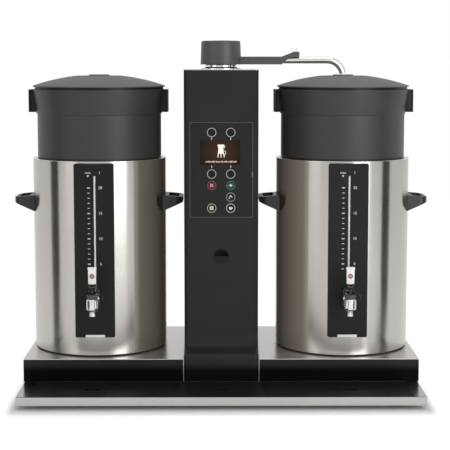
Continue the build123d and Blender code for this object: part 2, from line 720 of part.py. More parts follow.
def water_inlet():
    inner = COVER_Y - INLET_HEX_T
    outer = TOWER_BACK_Y + INLET_HEX_T + THREAD_L
    fitting = rod_y(THREAD_R, INLET_X, (inner, outer), INLET_Z)
    fitting += hex_y(INLET_HEX, INLET_X, (TOWER_BACK_Y, TOWER_BACK_Y + INLET_HEX_T), INLET_Z)
    return fitting - rod_y(THREAD_R - 3 * PIPE_WALL, INLET_X, (inner - CUT, outer + CUT), INLET_Z)


def cable_gland():
    inner, outer = COVER_Y - GLAND_IN, TOWER_BACK_Y + GLAND_OUT
    gland = rod_y(GLAND_R, GLAND_X, (inner, outer), GLAND_Z)
    gland += hex_y(GLAND_HEX, GLAND_X, (TOWER_BACK_Y, TOWER_BACK_Y + GLAND_OUT / 2), GLAND_Z)
    gland += hex_y(GLAND_HEX, GLAND_X, (COVER_Y - GLAND_IN / 2, COVER_Y), GLAND_Z)
    return gland - rod_y(GLAND_BORE_R, GLAND_X, (inner - CUT, outer + CUT), GLAND_Z)


def relay_board():
    back = COVER_Y - RELAY_STANDOFF
    low, high = RELAY_Z - RELAY_H / 2, RELAY_Z + RELAY_H / 2
    board = span((-RELAY_W / 2, RELAY_W / 2), (back - BOARD_T, back), (low, high))
    for x in (-RELAY_W / 2 + 2 * PANEL_POST_R, RELAY_W / 2 - 2 * PANEL_POST_R):
        for z in (low + 2 * PANEL_POST_R, high - 2 * PANEL_POST_R):
            board += rod_y(PANEL_POST_R, x, (back - BOARD_T / 2, COVER_Y), z)
    for column in (-1, 0, 1):
        x = column * RELAY_W / 4
        z = RELAY_Z + RELAY_BOX_UP
        box_x = (x - RELAY_BOX_W / 2, x + RELAY_BOX_W / 2)
        box_y = (back - BOARD_T - RELAY_BOX_D, back - BOARD_T / 2)
        board += span(box_x, box_y, (z - RELAY_BOX_H / 2, z + RELAY_BOX_H / 2))
    return board


# ---- swivel outlet ----
def swivel_collar():
    neck_z = TOWER_TOP_Z + COLLAR_FLANGE_T
    spindle_z = neck_z + COLLAR_NECK_H
    low = TOWER_TOP_Z - SPINDLE_TAIL
    collar = post(COLLAR_FLANGE_R, (TOWER_TOP_Z, neck_z), 0, CAN_Y)
    collar += post(COLLAR_NECK_R, (neck_z, spindle_z), 0, CAN_Y)
    collar += post(SPINDLE_R, (low, spindle_z + SPINDLE_H), 0, CAN_Y)
    return collar - post(SPINDLE_BORE_R, (low - CUT, spindle_z + SPINDLE_H + CUT), 0, CAN_Y)


def arm_half():
    """Half the width of the arm's trough."""
    return PIPE_R + GAP + ARM_T


def arm_low():
    """Underside of the arm's trough."""
    return PIPE_Z - PIPE_R - GAP - ARM_T


def swivel_cap():
    top = CAP_Z + CAP_H
    outer = turned((0, CAP_Z), (CAP_R, CAP_Z), (CAP_TOP_R, top - CAP_EDGE), (CAP_TOP_R - CAP_EDGE, top),
                   (0, top + CAP_CROWN))
    low, roof = CAP_Z - CUT, top - CAP_T
    inner = turned((0, low), (CAP_R - CAP_T, low), (CAP_TOP_R - CAP_T, roof), (0, roof))
    cap = outer - inner
    cap += post(HUB_R, (CAP_Z, top - CAP_T / 2))
    spindle_top = TOWER_TOP_Z + COLLAR_FLANGE_T + COLLAR_NECK_H + SPINDLE_H
    cap -= post(SPINDLE_R + RUNNING, (CAP_Z - CUT, spindle_top + GAP))
    cap -= rod_x(PIPE_R + RUNNING, (SPINDLE_R, HUB_R + CUT), 0, PIPE_Z)
    slot_half = arm_half() + GAP
    slot_z = (CAP_Z - CUT, PIPE_Z + PIPE_R + GAP)
    cap -= span((HUB_R + CAP_T, CAP_R + CUT), (-slot_half, slot_half), slot_z)
    return Pos(0, CAN_Y, 0) * cap


def swivel_arm():
    low = arm_low()
    top = PIPE_Z + PIPE_R - ARM_OPEN
    start = HUB_R + GAP
    end = ARM_L + GRIP_L
    peak = top + GRIP_RISE
    side = make_face(Polyline(
        (start, low), (ARM_L, low), (ARM_L + GRIP_FOOT_L, top - GRIP_FOOT_DROP),
        (end - GRIP_ROUND[0], top + GRIP_NOSE[0]), (end, top + GRIP_NOSE[1]),
        (end - GRIP_ROUND[1], peak - GRIP_ROUND[1] / 2), (end - GRIP_BACK, peak),
        (ARM_L, top), (start, top), close=True))
    arm = Plane.XZ * side
    arm = extrude(arm, arm_half(), both=True)
    arm -= rod_x(PIPE_R + GAP, (start - CUT, end + CUT), 0, PIPE_Z)
    channel = PIPE_R + GAP
    arm -= span((start - CUT, ARM_L), (-channel, channel), (PIPE_Z, top + CUT))
    return Pos(0, CAN_Y, 0) * arm


def outlet_pipe():
    reach = CAN_X
    turn = math.radians(PIPE_TURN)
    bend_x = reach - PIPE_BEND_R * math.sin(turn)
    start = Line((SPINDLE_R + 4 * RUNNING, CAN_Y, PIPE_Z), (bend_x, CAN_Y, PIPE_Z))
    plane = Plane(origin=(bend_x, CAN_Y, PIPE_Z - PIPE_BEND_R), x_dir=(1, 0, 0), z_dir=(0, -1, 0))
    bend = plane * CenterArc((0, 0), PIPE_BEND_R, 90, -PIPE_TURN)
    path = Wire([start.edge(), bend.edge()])
    pipe = bent_bar(path, PIPE_R, PIPE_R - PIPE_WALL)
    return pipe - post(SPINDLE_R + 2 * RUNNING, (PIPE_Z - 2 * PIPE_R, PIPE_Z + 2 * PIPE_R), 0, CAN_Y)


def grip_knob():
    top = PIPE_Z + PIPE_R - ARM_OPEN + GRIP_RISE
    x = ARM_L + GRIP_L - KNOB_R - KNOB_IN
    knob = turned(
        (0, top + GAP), (KNOB_STEM_R, top + GAP), (KNOB_STEM_R, top + KNOB_STEM_H),
        (KNOB_R, top + KNOB_FLARE_H), (KNOB_R, top + KNOB_H - KNOB_EDGE),
        (KNOB_R - KNOB_EDGE, top + KNOB_H), (0, top + KNOB_H))
    return Pos(x, CAN_Y, 0) * knob


# ---- containers, about their own axis ----
def plate_opening(y):
    """The space round the tap's plate between two places along Y."""
    half_w = TAP_PLATE_W / 2 + GAP
    half_h = TAP_PLATE_H / 2 + GAP
    return span((-half_w, half_w), y, (SHANK_Z - half_h, SHANK_Z + half_h))


def container_shell():
    plinth = CAN_Z + PLINTH_H
    floor = plinth + SHEET
    rim_in = CAN_R - RIM_W
    wall_in = CAN_R - CAN_WALL
    shell = turned(
        (0, plinth), (PLINTH_R - PLINTH_W, plinth), (PLINTH_R - PLINTH_W, CAN_Z), (PLINTH_R, CAN_Z),
        (PLINTH_R, plinth), (CAN_R, plinth), (CAN_R, RIM_Z - SHEET), (CAN_R - SHEET, RIM_Z),
        (rim_in + SHEET, RIM_Z), (rim_in, RIM_Z - SHEET), (rim_in, FLANGE_Z), (wall_in, FLANGE_Z),
        (wall_in, floor), (0, floor))
    return shell - plate_opening((-CAN_R - CUT, -CAN_R / 2))


def vessel():
    outer = VESSEL_R + VESSEL_T
    floor = FLOOR_Z
    flange_r = CAN_R - CAN_WALL - GAP
    under = FLANGE_Z - VESSEL_T
    pocket = floor + POCKET_H
    body = turned(
        (0, pocket - VESSEL_T), (POCKET_R - VESSEL_T, pocket - VESSEL_T),
        (POCKET_R - VESSEL_T, floor - VESSEL_T), (outer, floor - VESSEL_T), (outer, under),
        (flange_r, under), (flange_r, FLANGE_Z), (VESSEL_R, FLANGE_Z), (VESSEL_R, floor),
        (POCKET_R, floor), (POCKET_R, pocket), (0, pocket))
    return body - rod_y(SHANK_R + GAP, 0, (-outer - CUT, -VESSEL_R / 2), SHANK_Z)


def insulation():
    inner = VESSEL_R + VESSEL_T + GAP
    outer = CAN_R - CAN_WALL - GAP
    low = FLOOR_Z - VESSEL_T - RIM_W
    high = FLANGE_Z - VESSEL_T - GAP
    sleeve = turned((inner, low), (outer, low), (outer, high), (inner, high))
    return sleeve - plate_opening((-outer - CUT, -VESSEL_R / 2))


def handle():
    """The handle on the +X side, a scoop with a hand slot through it."""
    root = CAN_R - HANDLE_ROOT
    end = CAN_R + HANDLE_OUT
    top = DECK_Z + HANDLE_TOP
    side = make_face(Polyline(
        (root, top), (end, top - HANDLE_DROP), (end, top - HANDLE_DROP - HANDLE_END_H),
        (root, top - HANDLE_H), close=True))
    wedge = extrude(Plane.XZ * side, HANDLE_W / 2, both=True)
    ends = wedge.edges().filter_by(Axis.Z).group_by(Axis.X)[-1]
    wedge = fillet(ends, HANDLE_CORNER_R)
    slot_x = (CAN_R + HANDLE_WALL, end - HANDLE_END_WALL)
    slot_y = HANDLE_W / 2 - HANDLE_SIDE_WALL
    slot = span(slot_x, (-slot_y, slot_y), (top - 2 * HANDLE_H, top + HANDLE_H))
    slot = fillet(slot.edges().filter_by(Axis.Z), SLOT_CORNER_R)
    wedge -= slot
    return wedge - post(CAN_R + GAP, (top - 2 * HANDLE_H, top + HANDLE_H))


def handles():
    right = handle()
    return Compound(children=[right, Rot(0, 0, 180) * right])


def tap_panel():
    half = TAP_PANEL_W / 2
    low = DECK_Z + TAP_PANEL_Z
    high = low + TAP_PANEL_H
    depth = (TAP_PANEL_Y, -math.sqrt(CAN_R**2 - half**2))
    panel = span((-half, half), depth, (low, high))
    panel = fillet(panel.edges().filter_by(Axis.Y), TAP_PANEL_CORNER_R)
    panel -= post(CAN_R + GAP, (low - CUT, high + CUT))
    panel -= span((-NOTCH_W / 2, NOTCH_W / 2), (TAP_PANEL_Y - CUT, depth[1]), (low - CUT, low + NOTCH_H))
    groove_z = (SHANK_Z, DECK_Z + GLASS_TOP + GAP)
    panel -= post(GLASS_R + GAP, groove_z, GLASS_X, TAP_PANEL_Y + GLASS_SINK)
    return panel - plate_opening((TAP_PANEL_Y - CUT, depth[1]))


def sight_glass():
    z = (SHANK_Z + TAP_PLATE_H / 4, DECK_Z + GLASS_TOP)
    glass = post(GLASS_R, z, GLASS_X, TAP_PANEL_Y + GLASS_SINK)
    return glass - post(GLASS_BORE_R, (z[0] - CUT, z[1] - GLASS_R), GLASS_X, TAP_PANEL_Y + GLASS_SINK)


def tap_body():
    plate_y = (TAP_PANEL_Y - TAP_PLATE_PROUD, -CAN_R - GAP)
    half_w, half_h = TAP_PLATE_W / 2, TAP_PLATE_H / 2
    plate = span((-half_w, half_w), plate_y, (SHANK_Z - half_h, SHANK_Z + half_h))
    body = fillet(plate.edges().filter_by(Axis.Y), TAP_PLATE_CORNER_R)
    glass_z = (SHANK_Z + TAP_PLATE_H / 4, SHANK_Z + TAP_PLATE_H)
    body -= post(GLASS_R + RUNNING, glass_z, GLASS_X, TAP_PANEL_Y + GLASS_SINK)
    body += rod_y(SHANK_R, 0, (TAP_Y, -VESSEL_R + 2 * SHANK_R), SHANK_Z)
    barrel = extrude(RegularPolygon(TAP_BODY_R, 8), TAP_BODY_H)
    body += Pos(0, TAP_Y, TAP_LOW_Z) * barrel
    nozzle_top = TAP_LOW_Z + CUT
    cone = turned(
        (0, TAP_LOW_Z - NOZZLE_H), (NOZZLE_R, TAP_LOW_Z - NOZZLE_H), (NOZZLE_R, TAP_LOW_Z - NOZZLE_H / 3),
        (NOZZLE_TOP_R, nozzle_top), (0, nozzle_top))
    body += Pos(0, TAP_Y, 0) * cone
    body += post(TAP_COLLAR_R, (COLLAR_Z - CUT, COLLAR_Z + TAP_COLLAR_H), 0, TAP_Y)
    stem = LUG_R * math.cos(math.radians(LEVER_PULL)) - GAP
    lug = span((-LUG_W / 2, LUG_W / 2), (TAP_Y - stem, TAP_Y + stem), (COLLAR_Z, PIVOT_Z))
    lug += rod_x(LUG_R, (-LUG_W / 2, LUG_W / 2), TAP_Y, PIVOT_Z)
    body += lug
    body -= rod_x(PIVOT_R + RUNNING, (-LUG_W, LUG_W), TAP_Y, PIVOT_Z)
    body -= post(NOZZLE_BORE_R, (TAP_LOW_Z - NOZZLE_H - CUT, SHANK_Z), 0, TAP_Y)
    return body - rod_y(SHANK_BORE_R, 0, (TAP_Y, -CAN_R / 2), SHANK_Z)


def tap_lever():
    play = GAP / 2
    half = LUG_W / 2 + play + CHEEK_T
    cheek_r = LUG_R + CHEEK_LIP
    pad_z = PIVOT_Z + LEVER_PAD_UP
    lever = rod_x(cheek_r, (-half, half), TAP_Y, PIVOT_Z)
    neck = span((-half, half), (TAP_Y - cheek_r, TAP_Y + cheek_r), (PIVOT_Z, pad_z))
    lever += neck
    slot_x = (-LUG_W / 2 - play, LUG_W / 2 + play)
    lever -= rod_x(LUG_R + GAP, slot_x, TAP_Y, PIVOT_Z)
    slot_y = (TAP_Y - cheek_r - CUT, TAP_Y + cheek_r + CUT)
    lever -= span(slot_x, slot_y, (PIVOT_Z - 2 * LUG_R, PIVOT_Z))
    pad_y = (TAP_Y - LEVER_PAD_T / 2, TAP_Y + LEVER_PAD_T / 2)
    pad = span((-LEVER_W / 2, LEVER_W / 2), pad_y, (pad_z, pad_z + LEVER_PAD_H))
    pad = fillet(pad.edges().filter_by(Axis.Y), LEVER_CORNER_R)
    lever += pad
    return lever + rod_x(PIVOT_R, (-half, half), TAP_Y, PIVOT_Z)


def skirt_radius(z):
    """Outside of the basket's skirt at a height above the rim."""
    foot_r = BASKET_R + SKIRT_STEP
    return foot_r + (SKIRT_R - foot_r) * (z - BASKET_Z) / (SKIRT_TOP_Z - BASKET_Z)


def filter_basket():
    seat = FLANGE_Z + GAP
    spigot = VESSEL_R - SPIGOT_PLAY
    floor = FLANGE_Z - BASKET_FLOOR
    outlet_low = FLANGE_Z - OUTLET_DROP
    outlet_out = OUTLET_R + BASKET_T
    foot_r, drum = BASKET_R - STEP_IN, RIM_Z + DRUM_UP
    foot, top = RIM_Z + BASKET_Z, RIM_Z + SKIRT_TOP_Z
    edge_in = SKIRT_R - EDGE_W
    basket = turned(
        (OUTLET_R, outlet_low), (outlet_out, outlet_low), (outlet_out, outlet_low + OUTLET_R),
        (spigot, floor - BASKET_T), (spigot, seat), (foot_r, seat), (foot_r, drum),
        (BASKET_R, drum), (BASKET_R, foot),
        (BASKET_R + SKIRT_STEP, foot), (SKIRT_R, top), (edge_in, top), (edge_in, top - BASKET_T),
        (skirt_radius(SKIRT_TOP_Z - BASKET_T) - BASKET_T, top - BASKET_T),
        (BASKET_R + SKIRT_STEP - BASKET_T, foot), (BASKET_R - BASKET_T, foot - BASKET_T),
        (BASKET_R - BASKET_T, drum + BASKET_T), (foot_r - BASKET_T, drum),
        (foot_r - BASKET_T, seat + BASKET_T), (spigot - BASKET_T, seat + BASKET_T),
        (spigot - BASKET_T, floor), (OUTLET_R, outlet_low + OUTLET_R + BASKET_T))
    low = top - EAR_H
    for side in (-1, 1):
        ear = span(sorted((side * BASKET_R, side * EAR_R)), (-EAR_W / 2, EAR_W / 2), (low, top))
        outer = [e for e in ear.edges().filter_by(Axis.Z) if abs(e.center().X) > SKIRT_R]
        ear = fillet(outer, EAR_T)
        pocket_x = sorted((side * (BASKET_R - CUT), side * (EAR_R - EAR_T)))
        pocket_z = (low - CUT, top - EAR_T)
        web_out = EAR_W / 2 - EAR_STEP
        ear -= span(pocket_x, (EAR_T - web_out, web_out - EAR_T), pocket_z)
        ear -= span(pocket_x, (web_out, EAR_W / 2 + CUT), pocket_z)
        ear -= span(pocket_x, (-EAR_W / 2 - CUT, -web_out), pocket_z)
        inside = turned((0, low - CUT), (skirt_radius(low - RIM_Z) - EAR_LAP, low - CUT),
                        (SKIRT_R - EAR_LAP, top + CUT), (0, top + CUT))
        basket += ear - inside
    return basket


def dome_z(radius, drop=0.0):
    """Height of the lid's dome at a distance from its middle."""
    return RIM_Z + LID_TOP - LID_DOME_R + math.sqrt(LID_DOME_R**2 - radius**2) - drop


def dome_arc(inner, outer, drop=0.0):
    """The dome's line in side view between two distances from its middle."""
    middle = (inner + outer) / 2
    ends = [(r, 0, dome_z(r, drop)) for r in (inner, middle, outer)]
    return ThreePointArc(*ends)


def lid():
    flat_z = dome_z(LID_FLAT_R)
    hub_z = flat_z + LID_HUB_UP
    edge_r = LID_R - LID_EDGE
    lip_z = dome_z(edge_r) - LID_LIP_H
    step_r = LID_R - LID_STEP
    ring_r = SKIRT_R - EDGE_W - LID_RING_PLAY
    ring_in = ring_r - LID_T
    groove_in, groove_out = LID_GROOVE_R - LID_GROOVE_W / 2, LID_GROOVE_R + LID_GROOVE_W / 2
    groove_z = dome_z(groove_out) - LID_GROOVE_D
    lines = [
        Polyline((LID_FLAT_R, 0, flat_z - LID_T), (POUR_R, 0, flat_z - LID_T), (POUR_R, 0, hub_z),
                 (LID_HUB_R, 0, hub_z), (LID_HUB_R, 0, flat_z), (LID_FLAT_R, 0, flat_z)),
        dome_arc(LID_FLAT_R, groove_in),
        Polyline((groove_in, 0, dome_z(groove_in)), (groove_in, 0, groove_z), (groove_out, 0, groove_z),
                 (groove_out, 0, dome_z(groove_out))),
        dome_arc(groove_out, edge_r),
        Polyline((edge_r, 0, dome_z(edge_r)), (LID_R, 0, dome_z(edge_r) - LID_EDGE),
                 (LID_R, 0, lip_z), (step_r, 0, lip_z),
                 (step_r, 0, LID_SEAT_Z), (ring_r, 0, LID_SEAT_Z),
                 (ring_r, 0, LID_SEAT_Z - LID_RING_H),
                 (ring_in, 0, LID_SEAT_Z - LID_RING_H), (ring_in, 0, dome_z(ring_in, LID_T))),
        dome_arc(ring_in, LID_FLAT_R, LID_T),
    ]
    return revolve(make_face(lines), Axis.Z)


CONTAINER_PIECES = {
    "shell": container_shell,
    "vessel": vessel,
    "insulation": insulation,
    "handles": handles,
    "tap_panel": tap_panel,
    "sight_glass": sight_glass,
    "tap_body": tap_body,
    "tap_lever": tap_lever,
    "filter_basket": filter_basket,
    "lid": lid,
}


# ---- the whole brewer ----
def brewer():
    """Every node's name and shape."""
    nodes = {
        "base_pan": base_pan(),
        "deck_left": deck(-1),
        "deck_right": deck(1),
        "riser_left": riser(-1),
        "riser_right": riser(1),
        "drip_tray": drip_tray(),
        **drip_grids(),
        "feet": feet(),
        "tower_casing": tower_casing(),
        "back_cover": back_cover(),
        "back_screws": back_screws(),
        "top_plate": top_plate(),
        "panel_bezel": panel_bezel(),
        "display_window": display_window(),
        "control_board": control_board(),
        **{name: key(name) for name in KEY_UP},
        "service_cup": service_cup(),
        "boiler": boiler(),
        "heating_element": heating_element(),
        "inlet_valve": inlet_valve(),
        "supply_pipe": supply_pipe(),
        "riser_pipe": riser_pipe(),
        "water_inlet": water_inlet(),
        "cable_gland": cable_gland(),
        "relay_board": relay_board(),
        "swivel_collar": swivel_collar(),
        "swivel_cap": swivel_cap(),
        "swivel_arm": swivel_arm(),
        "outlet_pipe": outlet_pipe(),
        "grip_knob": grip_knob(),
    }
    for piece, build in CONTAINER_PIECES.items():
        shape = build()
        for side, x in (("left", -CAN_X), ("right", CAN_X)):
            nodes[f"{piece}_{side}"] = Pos(x, CAN_Y, 0) * shape
    return nodes


os.makedirs("parts", exist_ok=True)
for node, shape in brewer().items():
    export_step(shape, f"parts/{node}.step")
    print(node, round(shape.volume / 1000, 1), "cm3")
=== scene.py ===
"""Looks of the twin coffee brewer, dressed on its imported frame.

Lengths are in metres, in the frame's own axes: X to the right, Y to the back, Z up.
"""

import json
import logging
import math
from dataclasses import dataclass
from enum import Enum

import bmesh
import bpy
from mathutils import Matrix, Vector


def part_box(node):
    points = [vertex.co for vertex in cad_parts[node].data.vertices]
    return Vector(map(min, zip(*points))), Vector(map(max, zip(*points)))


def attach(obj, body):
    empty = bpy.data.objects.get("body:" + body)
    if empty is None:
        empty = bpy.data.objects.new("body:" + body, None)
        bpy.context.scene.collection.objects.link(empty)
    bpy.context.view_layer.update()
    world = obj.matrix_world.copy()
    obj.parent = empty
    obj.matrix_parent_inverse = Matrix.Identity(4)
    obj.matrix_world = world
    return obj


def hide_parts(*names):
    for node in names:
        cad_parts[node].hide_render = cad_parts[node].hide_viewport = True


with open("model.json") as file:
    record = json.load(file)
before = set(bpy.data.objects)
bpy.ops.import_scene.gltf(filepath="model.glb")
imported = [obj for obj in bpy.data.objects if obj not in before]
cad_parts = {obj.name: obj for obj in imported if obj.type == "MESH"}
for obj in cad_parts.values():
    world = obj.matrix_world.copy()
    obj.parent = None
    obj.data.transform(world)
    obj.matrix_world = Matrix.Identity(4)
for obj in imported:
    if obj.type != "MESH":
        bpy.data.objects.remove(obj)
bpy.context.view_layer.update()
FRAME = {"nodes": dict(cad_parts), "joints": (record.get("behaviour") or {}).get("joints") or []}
LOG = logging.getLogger("brewer")

MM = 0.001
SHARP = math.radians(35)
Flat = tuple[float, float]
Spot = tuple[float, float, float]


class Side(Enum):
    """The two containers' sides, with their sense along X."""

    LEFT = -1
    RIGHT = 1

    @property
    def word(self) -> str:
        """The side as it ends a node's name."""
        return self.name.lower()


# ---------------------------------------------------------------- node trees
class Tree:
    """Short calls for writing a node tree."""

    def __init__(self, tree: bpy.types.NodeTree) -> None:
        """Wraps a tree.

        Args:
            tree: the material's or the group's node tree.
        """
        self.tree = tree

    def add(self, kind: str, settings: dict | None = None, **sockets) -> bpy.types.Node:
        """Adds a node.

        Args:
            kind: the node's type name, without its "ShaderNode" start.
            settings: the node's own properties.
            sockets: input values or the sockets to link them to, with _ for a space.

        Returns:
            The new node.
        """
        node = self.tree.nodes.new("ShaderNode" + kind)
        for name, value in (settings or {}).items():
            setattr(node, name, value)
        for name, value in sockets.items():
            self.feed(node.inputs[name.replace("_", " ")], value)
        return node

    def feed(self, socket: bpy.types.NodeSocket, value: object) -> None:
        """Links a socket, or sets its value.

        Args:
            socket: the input.
            value: a number, a tuple or an output socket.
        """
        if isinstance(value, bpy.types.NodeSocket):
            self.tree.links.new(value, socket)
        else:
            socket.default_value = value

    def math(self, operation: str, first: object, second: object = 0.0,
             clamp: bool = False) -> bpy.types.NodeSocket:
        """Works out one sum.

        Args:
            operation: the Math node's operation.
            first: a number or a socket.
            second: a number or a socket.
            clamp: whether the answer is kept between 0 and 1.

        Returns:
            The answer's socket.
        """
        node = self.tree.nodes.new("ShaderNodeMath")
        node.operation = operation
        node.use_clamp = clamp
        self.feed(node.inputs[0], first)
        self.feed(node.inputs[1], second)
        return node.outputs[0]

    def vector(self, operation: str, first: object, second: object = (0.0, 0.0, 0.0)) -> bpy.types.Node:
        """Works out one sum of vectors.

        Args:
            operation: the Vector Math node's operation.
            first: a vector or a socket.
            second: a vector or a socket.

        Returns:
            The node.
        """
        node = self.add("VectorMath", {"operation": operation})
        self.feed(node.inputs[0], first)
        self.feed(node.inputs[1], second)
        return node

    def place(self) -> bpy.types.NodeSocket:
        """The surface's own place."""
        return self.add("TexCoord").outputs["Object"]

    def spread(self, value: bpy.types.NodeSocket, low: float, high: float) -> bpy.types.NodeSocket:
        """Maps 0 to 1 on to low to high."""
        node = self.add("MapRange", Value=value, To_Min=low, To_Max=high)
        return node.outputs["Result"]

    def tint(self, mask: bpy.types.NodeSocket, low: object, high: object) -> bpy.types.NodeSocket:
        """Mixes two colours by a mask.

        Args:
            mask: the mask.
            low: the colour at 0, or its socket.
            high: the colour at 1, or its socket.

        Returns:
            The mixed colour's socket.
        """
        node = self.add("Mix", {"data_type": "RGBA"})
        self.feed(node.inputs[0], mask)
        for socket, colour in ((node.inputs[6], low), (node.inputs[7], high)):
            self.feed(socket, colour if isinstance(colour, bpy.types.NodeSocket) else (*colour, 1.0))
        return node.outputs[2]


class Effect(Enum):
    """The shared surface effects, each a node group that is built once."""

    GRAIN = "surface_grain"
    HANDLING = "handling_marks"
    EDGES = "worn_edges"
    TOOTH = "surface_tooth"

    def group(self) -> bpy.types.NodeTree:
        """The effect's node group.

        Returns:
            The group, built at the first call.
        """
        known = bpy.data.node_groups.get(self.value)
        if known:
            return known
        tree = bpy.data.node_groups.new(self.value, "ShaderNodeTree")
        writer = {
            Effect.GRAIN: self._grain,
            Effect.HANDLING: self._handling,
            Effect.EDGES: self._edges,
            Effect.TOOTH: self._tooth,
        }
        writer[self](Tree(tree))
        return tree

    @staticmethod
    def _ports(tree: Tree, inputs: dict[str, float], output: str) -> tuple[bpy.types.Node, bpy.types.Node]:
        """Gives a group its sockets.

        Args:
            tree: the group.
            inputs: each input's name and usual value.
            output: the one output's name.

        Returns:
            The group's input and output nodes.
        """
        for name, value in inputs.items():
            socket = tree.tree.interface.new_socket(name, in_out="INPUT", socket_type="NodeSocketFloat")
            socket.default_value = value
        tree.tree.interface.new_socket(output, in_out="OUTPUT", socket_type="NodeSocketFloat")
        return tree.tree.nodes.new("NodeGroupInput"), tree.tree.nodes.new("NodeGroupOutput")

    @staticmethod
    def _grain(tree: Tree) -> None:
        """Long brush lines: noise stretched by its own number of lines a metre along each axis.

        Args:
            tree: the group.
        """
        ports = {"Along X": 10.0, "Along Y": 10.0, "Along Z": 10.0, "Detail": 3.0}
        source, end = Effect._ports(tree, ports, "Mask")
        lines = tree.add("CombineXYZ", X=source.outputs[0], Y=source.outputs[1], Z=source.outputs[2])
        scaled = tree.vector("MULTIPLY", tree.place(), lines.outputs[0])
        noise = tree.add("TexNoise", Vector=scaled.outputs[0], Scale=1.0, Detail=source.outputs[3],
                         Roughness=0.6)
        tree.feed(end.inputs[0], noise.outputs[0])

    @staticmethod
    def _handling(tree: Tree) -> None:
        """Soft patches left by wiping and by hands.

        Args:
            tree: the group.
        """
        source, end = Effect._ports(tree, {"Patches": 8.0, "Contrast": 1.5}, "Mask")
        place = tree.place()
        noise = tree.add("TexNoise", Vector=place, Scale=source.outputs[0], Detail=4.0, Roughness=0.55,
                         Distortion=0.6)
        centred = tree.math("SUBTRACT", noise.outputs[0], 0.5)
        raised = tree.math("MULTIPLY", centred, source.outputs[1])
        tree.feed(end.inputs[0], tree.math("ADD", raised, 0.5, clamp=True))

    @staticmethod
    def _edges(tree: Tree) -> None:
        """Corners and folds, where a finish is rubbed thin.

        Args:
            tree: the group.
        """
        source, end = Effect._ports(tree, {"Width": 0.0015, "Strength": 4.0}, "Mask")
        soft = tree.add("Bevel", {"samples": 4}, Radius=source.outputs[0])
        product = tree.vector("DOT_PRODUCT", soft.outputs[0], tree.add("NewGeometry").outputs["Normal"])
        bend = tree.math("SUBTRACT", 1.0, product.outputs["Value"])
        patches = tree.add("TexNoise", Scale=60.0, Detail=3.0).outputs[0]
        broken = tree.math("MULTIPLY", bend, tree.math("MULTIPLY", patches, source.outputs[1]))
        tree.feed(end.inputs[0], tree.math("MULTIPLY", broken, 2.0, clamp=True))

    @staticmethod
    def _tooth(tree: Tree) -> None:
        """Fine tooth of a powder coat or a spark-eroded mould.

        Args:
            tree: the group.
        """
        source, end = Effect._ports(tree, {"Cells": 900.0, "Softness": 0.5}, "Mask")
        place = tree.place()
        noise = tree.add("TexNoise", Vector=place, Scale=source.outputs[0], Detail=2.0,
                         Roughness=source.outputs[1])
        cells = tree.add("TexVoronoi", {"feature": "SMOOTH_F1"}, Vector=place, Scale=source.outputs[0])
        both = tree.math("MULTIPLY", noise.outputs[0], cells.outputs["Distance"])
        tree.feed(end.inputs[0], tree.math("MULTIPLY", both, 2.0, clamp=True))

    def use(self, tree: Tree, **values: float) -> bpy.types.NodeSocket:
        """Places the effect in a material.

        Args:
            tree: the material's tree.
            values: the group's inputs, with _ for a space.

        Returns:
            The mask's socket.
        """
        node = tree.tree.nodes.new("ShaderNodeGroup")
        node.node_tree = self.group()
        for name, value in values.items():
            node.inputs[name.replace("_", " ")].default_value = value
        return node.outputs[0]


# ---------------------------------------------------------------- finishes
class Paint(Tree):
    """A material's node tree, with its Principled BSDF."""

    def __init__(self, material: bpy.types.Material) -> None:
        """Opens a material's nodes.

        Args:
            material: the material.
        """
        material.use_nodes = True
        super().__init__(material.node_tree)
        self.shader = self.tree.nodes["Principled BSDF"]

    def coat(self, **sockets: object) -> None:
        """Sets or links the shader's own sockets, with _ for a space."""
        for name, value in sockets.items():
            self.feed(self.shader.inputs[name.replace("_", " ")], value)

    def relief(self, height: bpy.types.NodeSocket, depth: float, strength: float) -> None:
        """Gives the surface a fine relief.

        Args:
            height: the relief's mask.
            depth: its depth in metres.
            strength: how much of it shows.
        """
        bump = self.add("Bump", Strength=strength, Distance=depth, Height=height)
        self.coat(Normal=bump.outputs[0])


@dataclass(frozen=True)
class Finish:
    """A finish, which makes its material the first time it is asked."""

    name: str

    def material(self) -> bpy.types.Material:
        """The finish's material.

        Returns:
            The material, made at the first call.
        """
        known = bpy.data.materials.get(self.name)
        if known:
            return known
        material = bpy.data.materials.new(self.name)
        self.write(Paint(material))
        return material

    def write(self, paint: Paint) -> None:
        """Fills in the material's nodes.

        Args:
            paint: the material's nodes.
        """
        raise NotImplementedError


def shade(colour: Spot, factor: float) -> Spot:
    """A colour made lighter or darker."""
    return tuple(min(1.0, part * factor) for part in colour)


@dataclass(frozen=True)
class BrushedSteel(Finish):
    """Brushed stainless steel: long fine lines, soft wiping marks and a stretched sheen."""

    colour: Spot = (0.56, 0.54, 0.51)
    roughness: float = 0.28
    lines: Spot = (4.0, 4.0, 900.0)
    across: Spot = (0.0, 0.0, 1.0)
    stretch: float = 0.8
    depth: float = 0.00004

    def write(self, paint: Paint) -> None:
        """Fills in the material's nodes.

        Args:
            paint: the material's nodes.
        """
        x, y, z = self.lines
        lines = Effect.GRAIN.use(paint, Along_X=x, Along_Y=y, Along_Z=z, Detail=3.0)
        wiped = Effect.HANDLING.use(paint, Patches=5.0, Contrast=1.6)
        tone = paint.math("ADD", paint.math("MULTIPLY", lines, 0.65), paint.math("MULTIPLY", wiped, 0.35))
        x, y, z = self.across
        paint.coat(
            Base_Color=paint.tint(tone, shade(self.colour, 0.86), shade(self.colour, 1.12)),
            Roughness=paint.spread(tone, self.roughness - 0.07, self.roughness + 0.09),
            Metallic=1.0,
            Anisotropic=self.stretch,
            Tangent=paint.add("CombineXYZ", X=x, Y=y, Z=z).outputs[0],
        )
        paint.relief(lines, self.depth, 0.5)


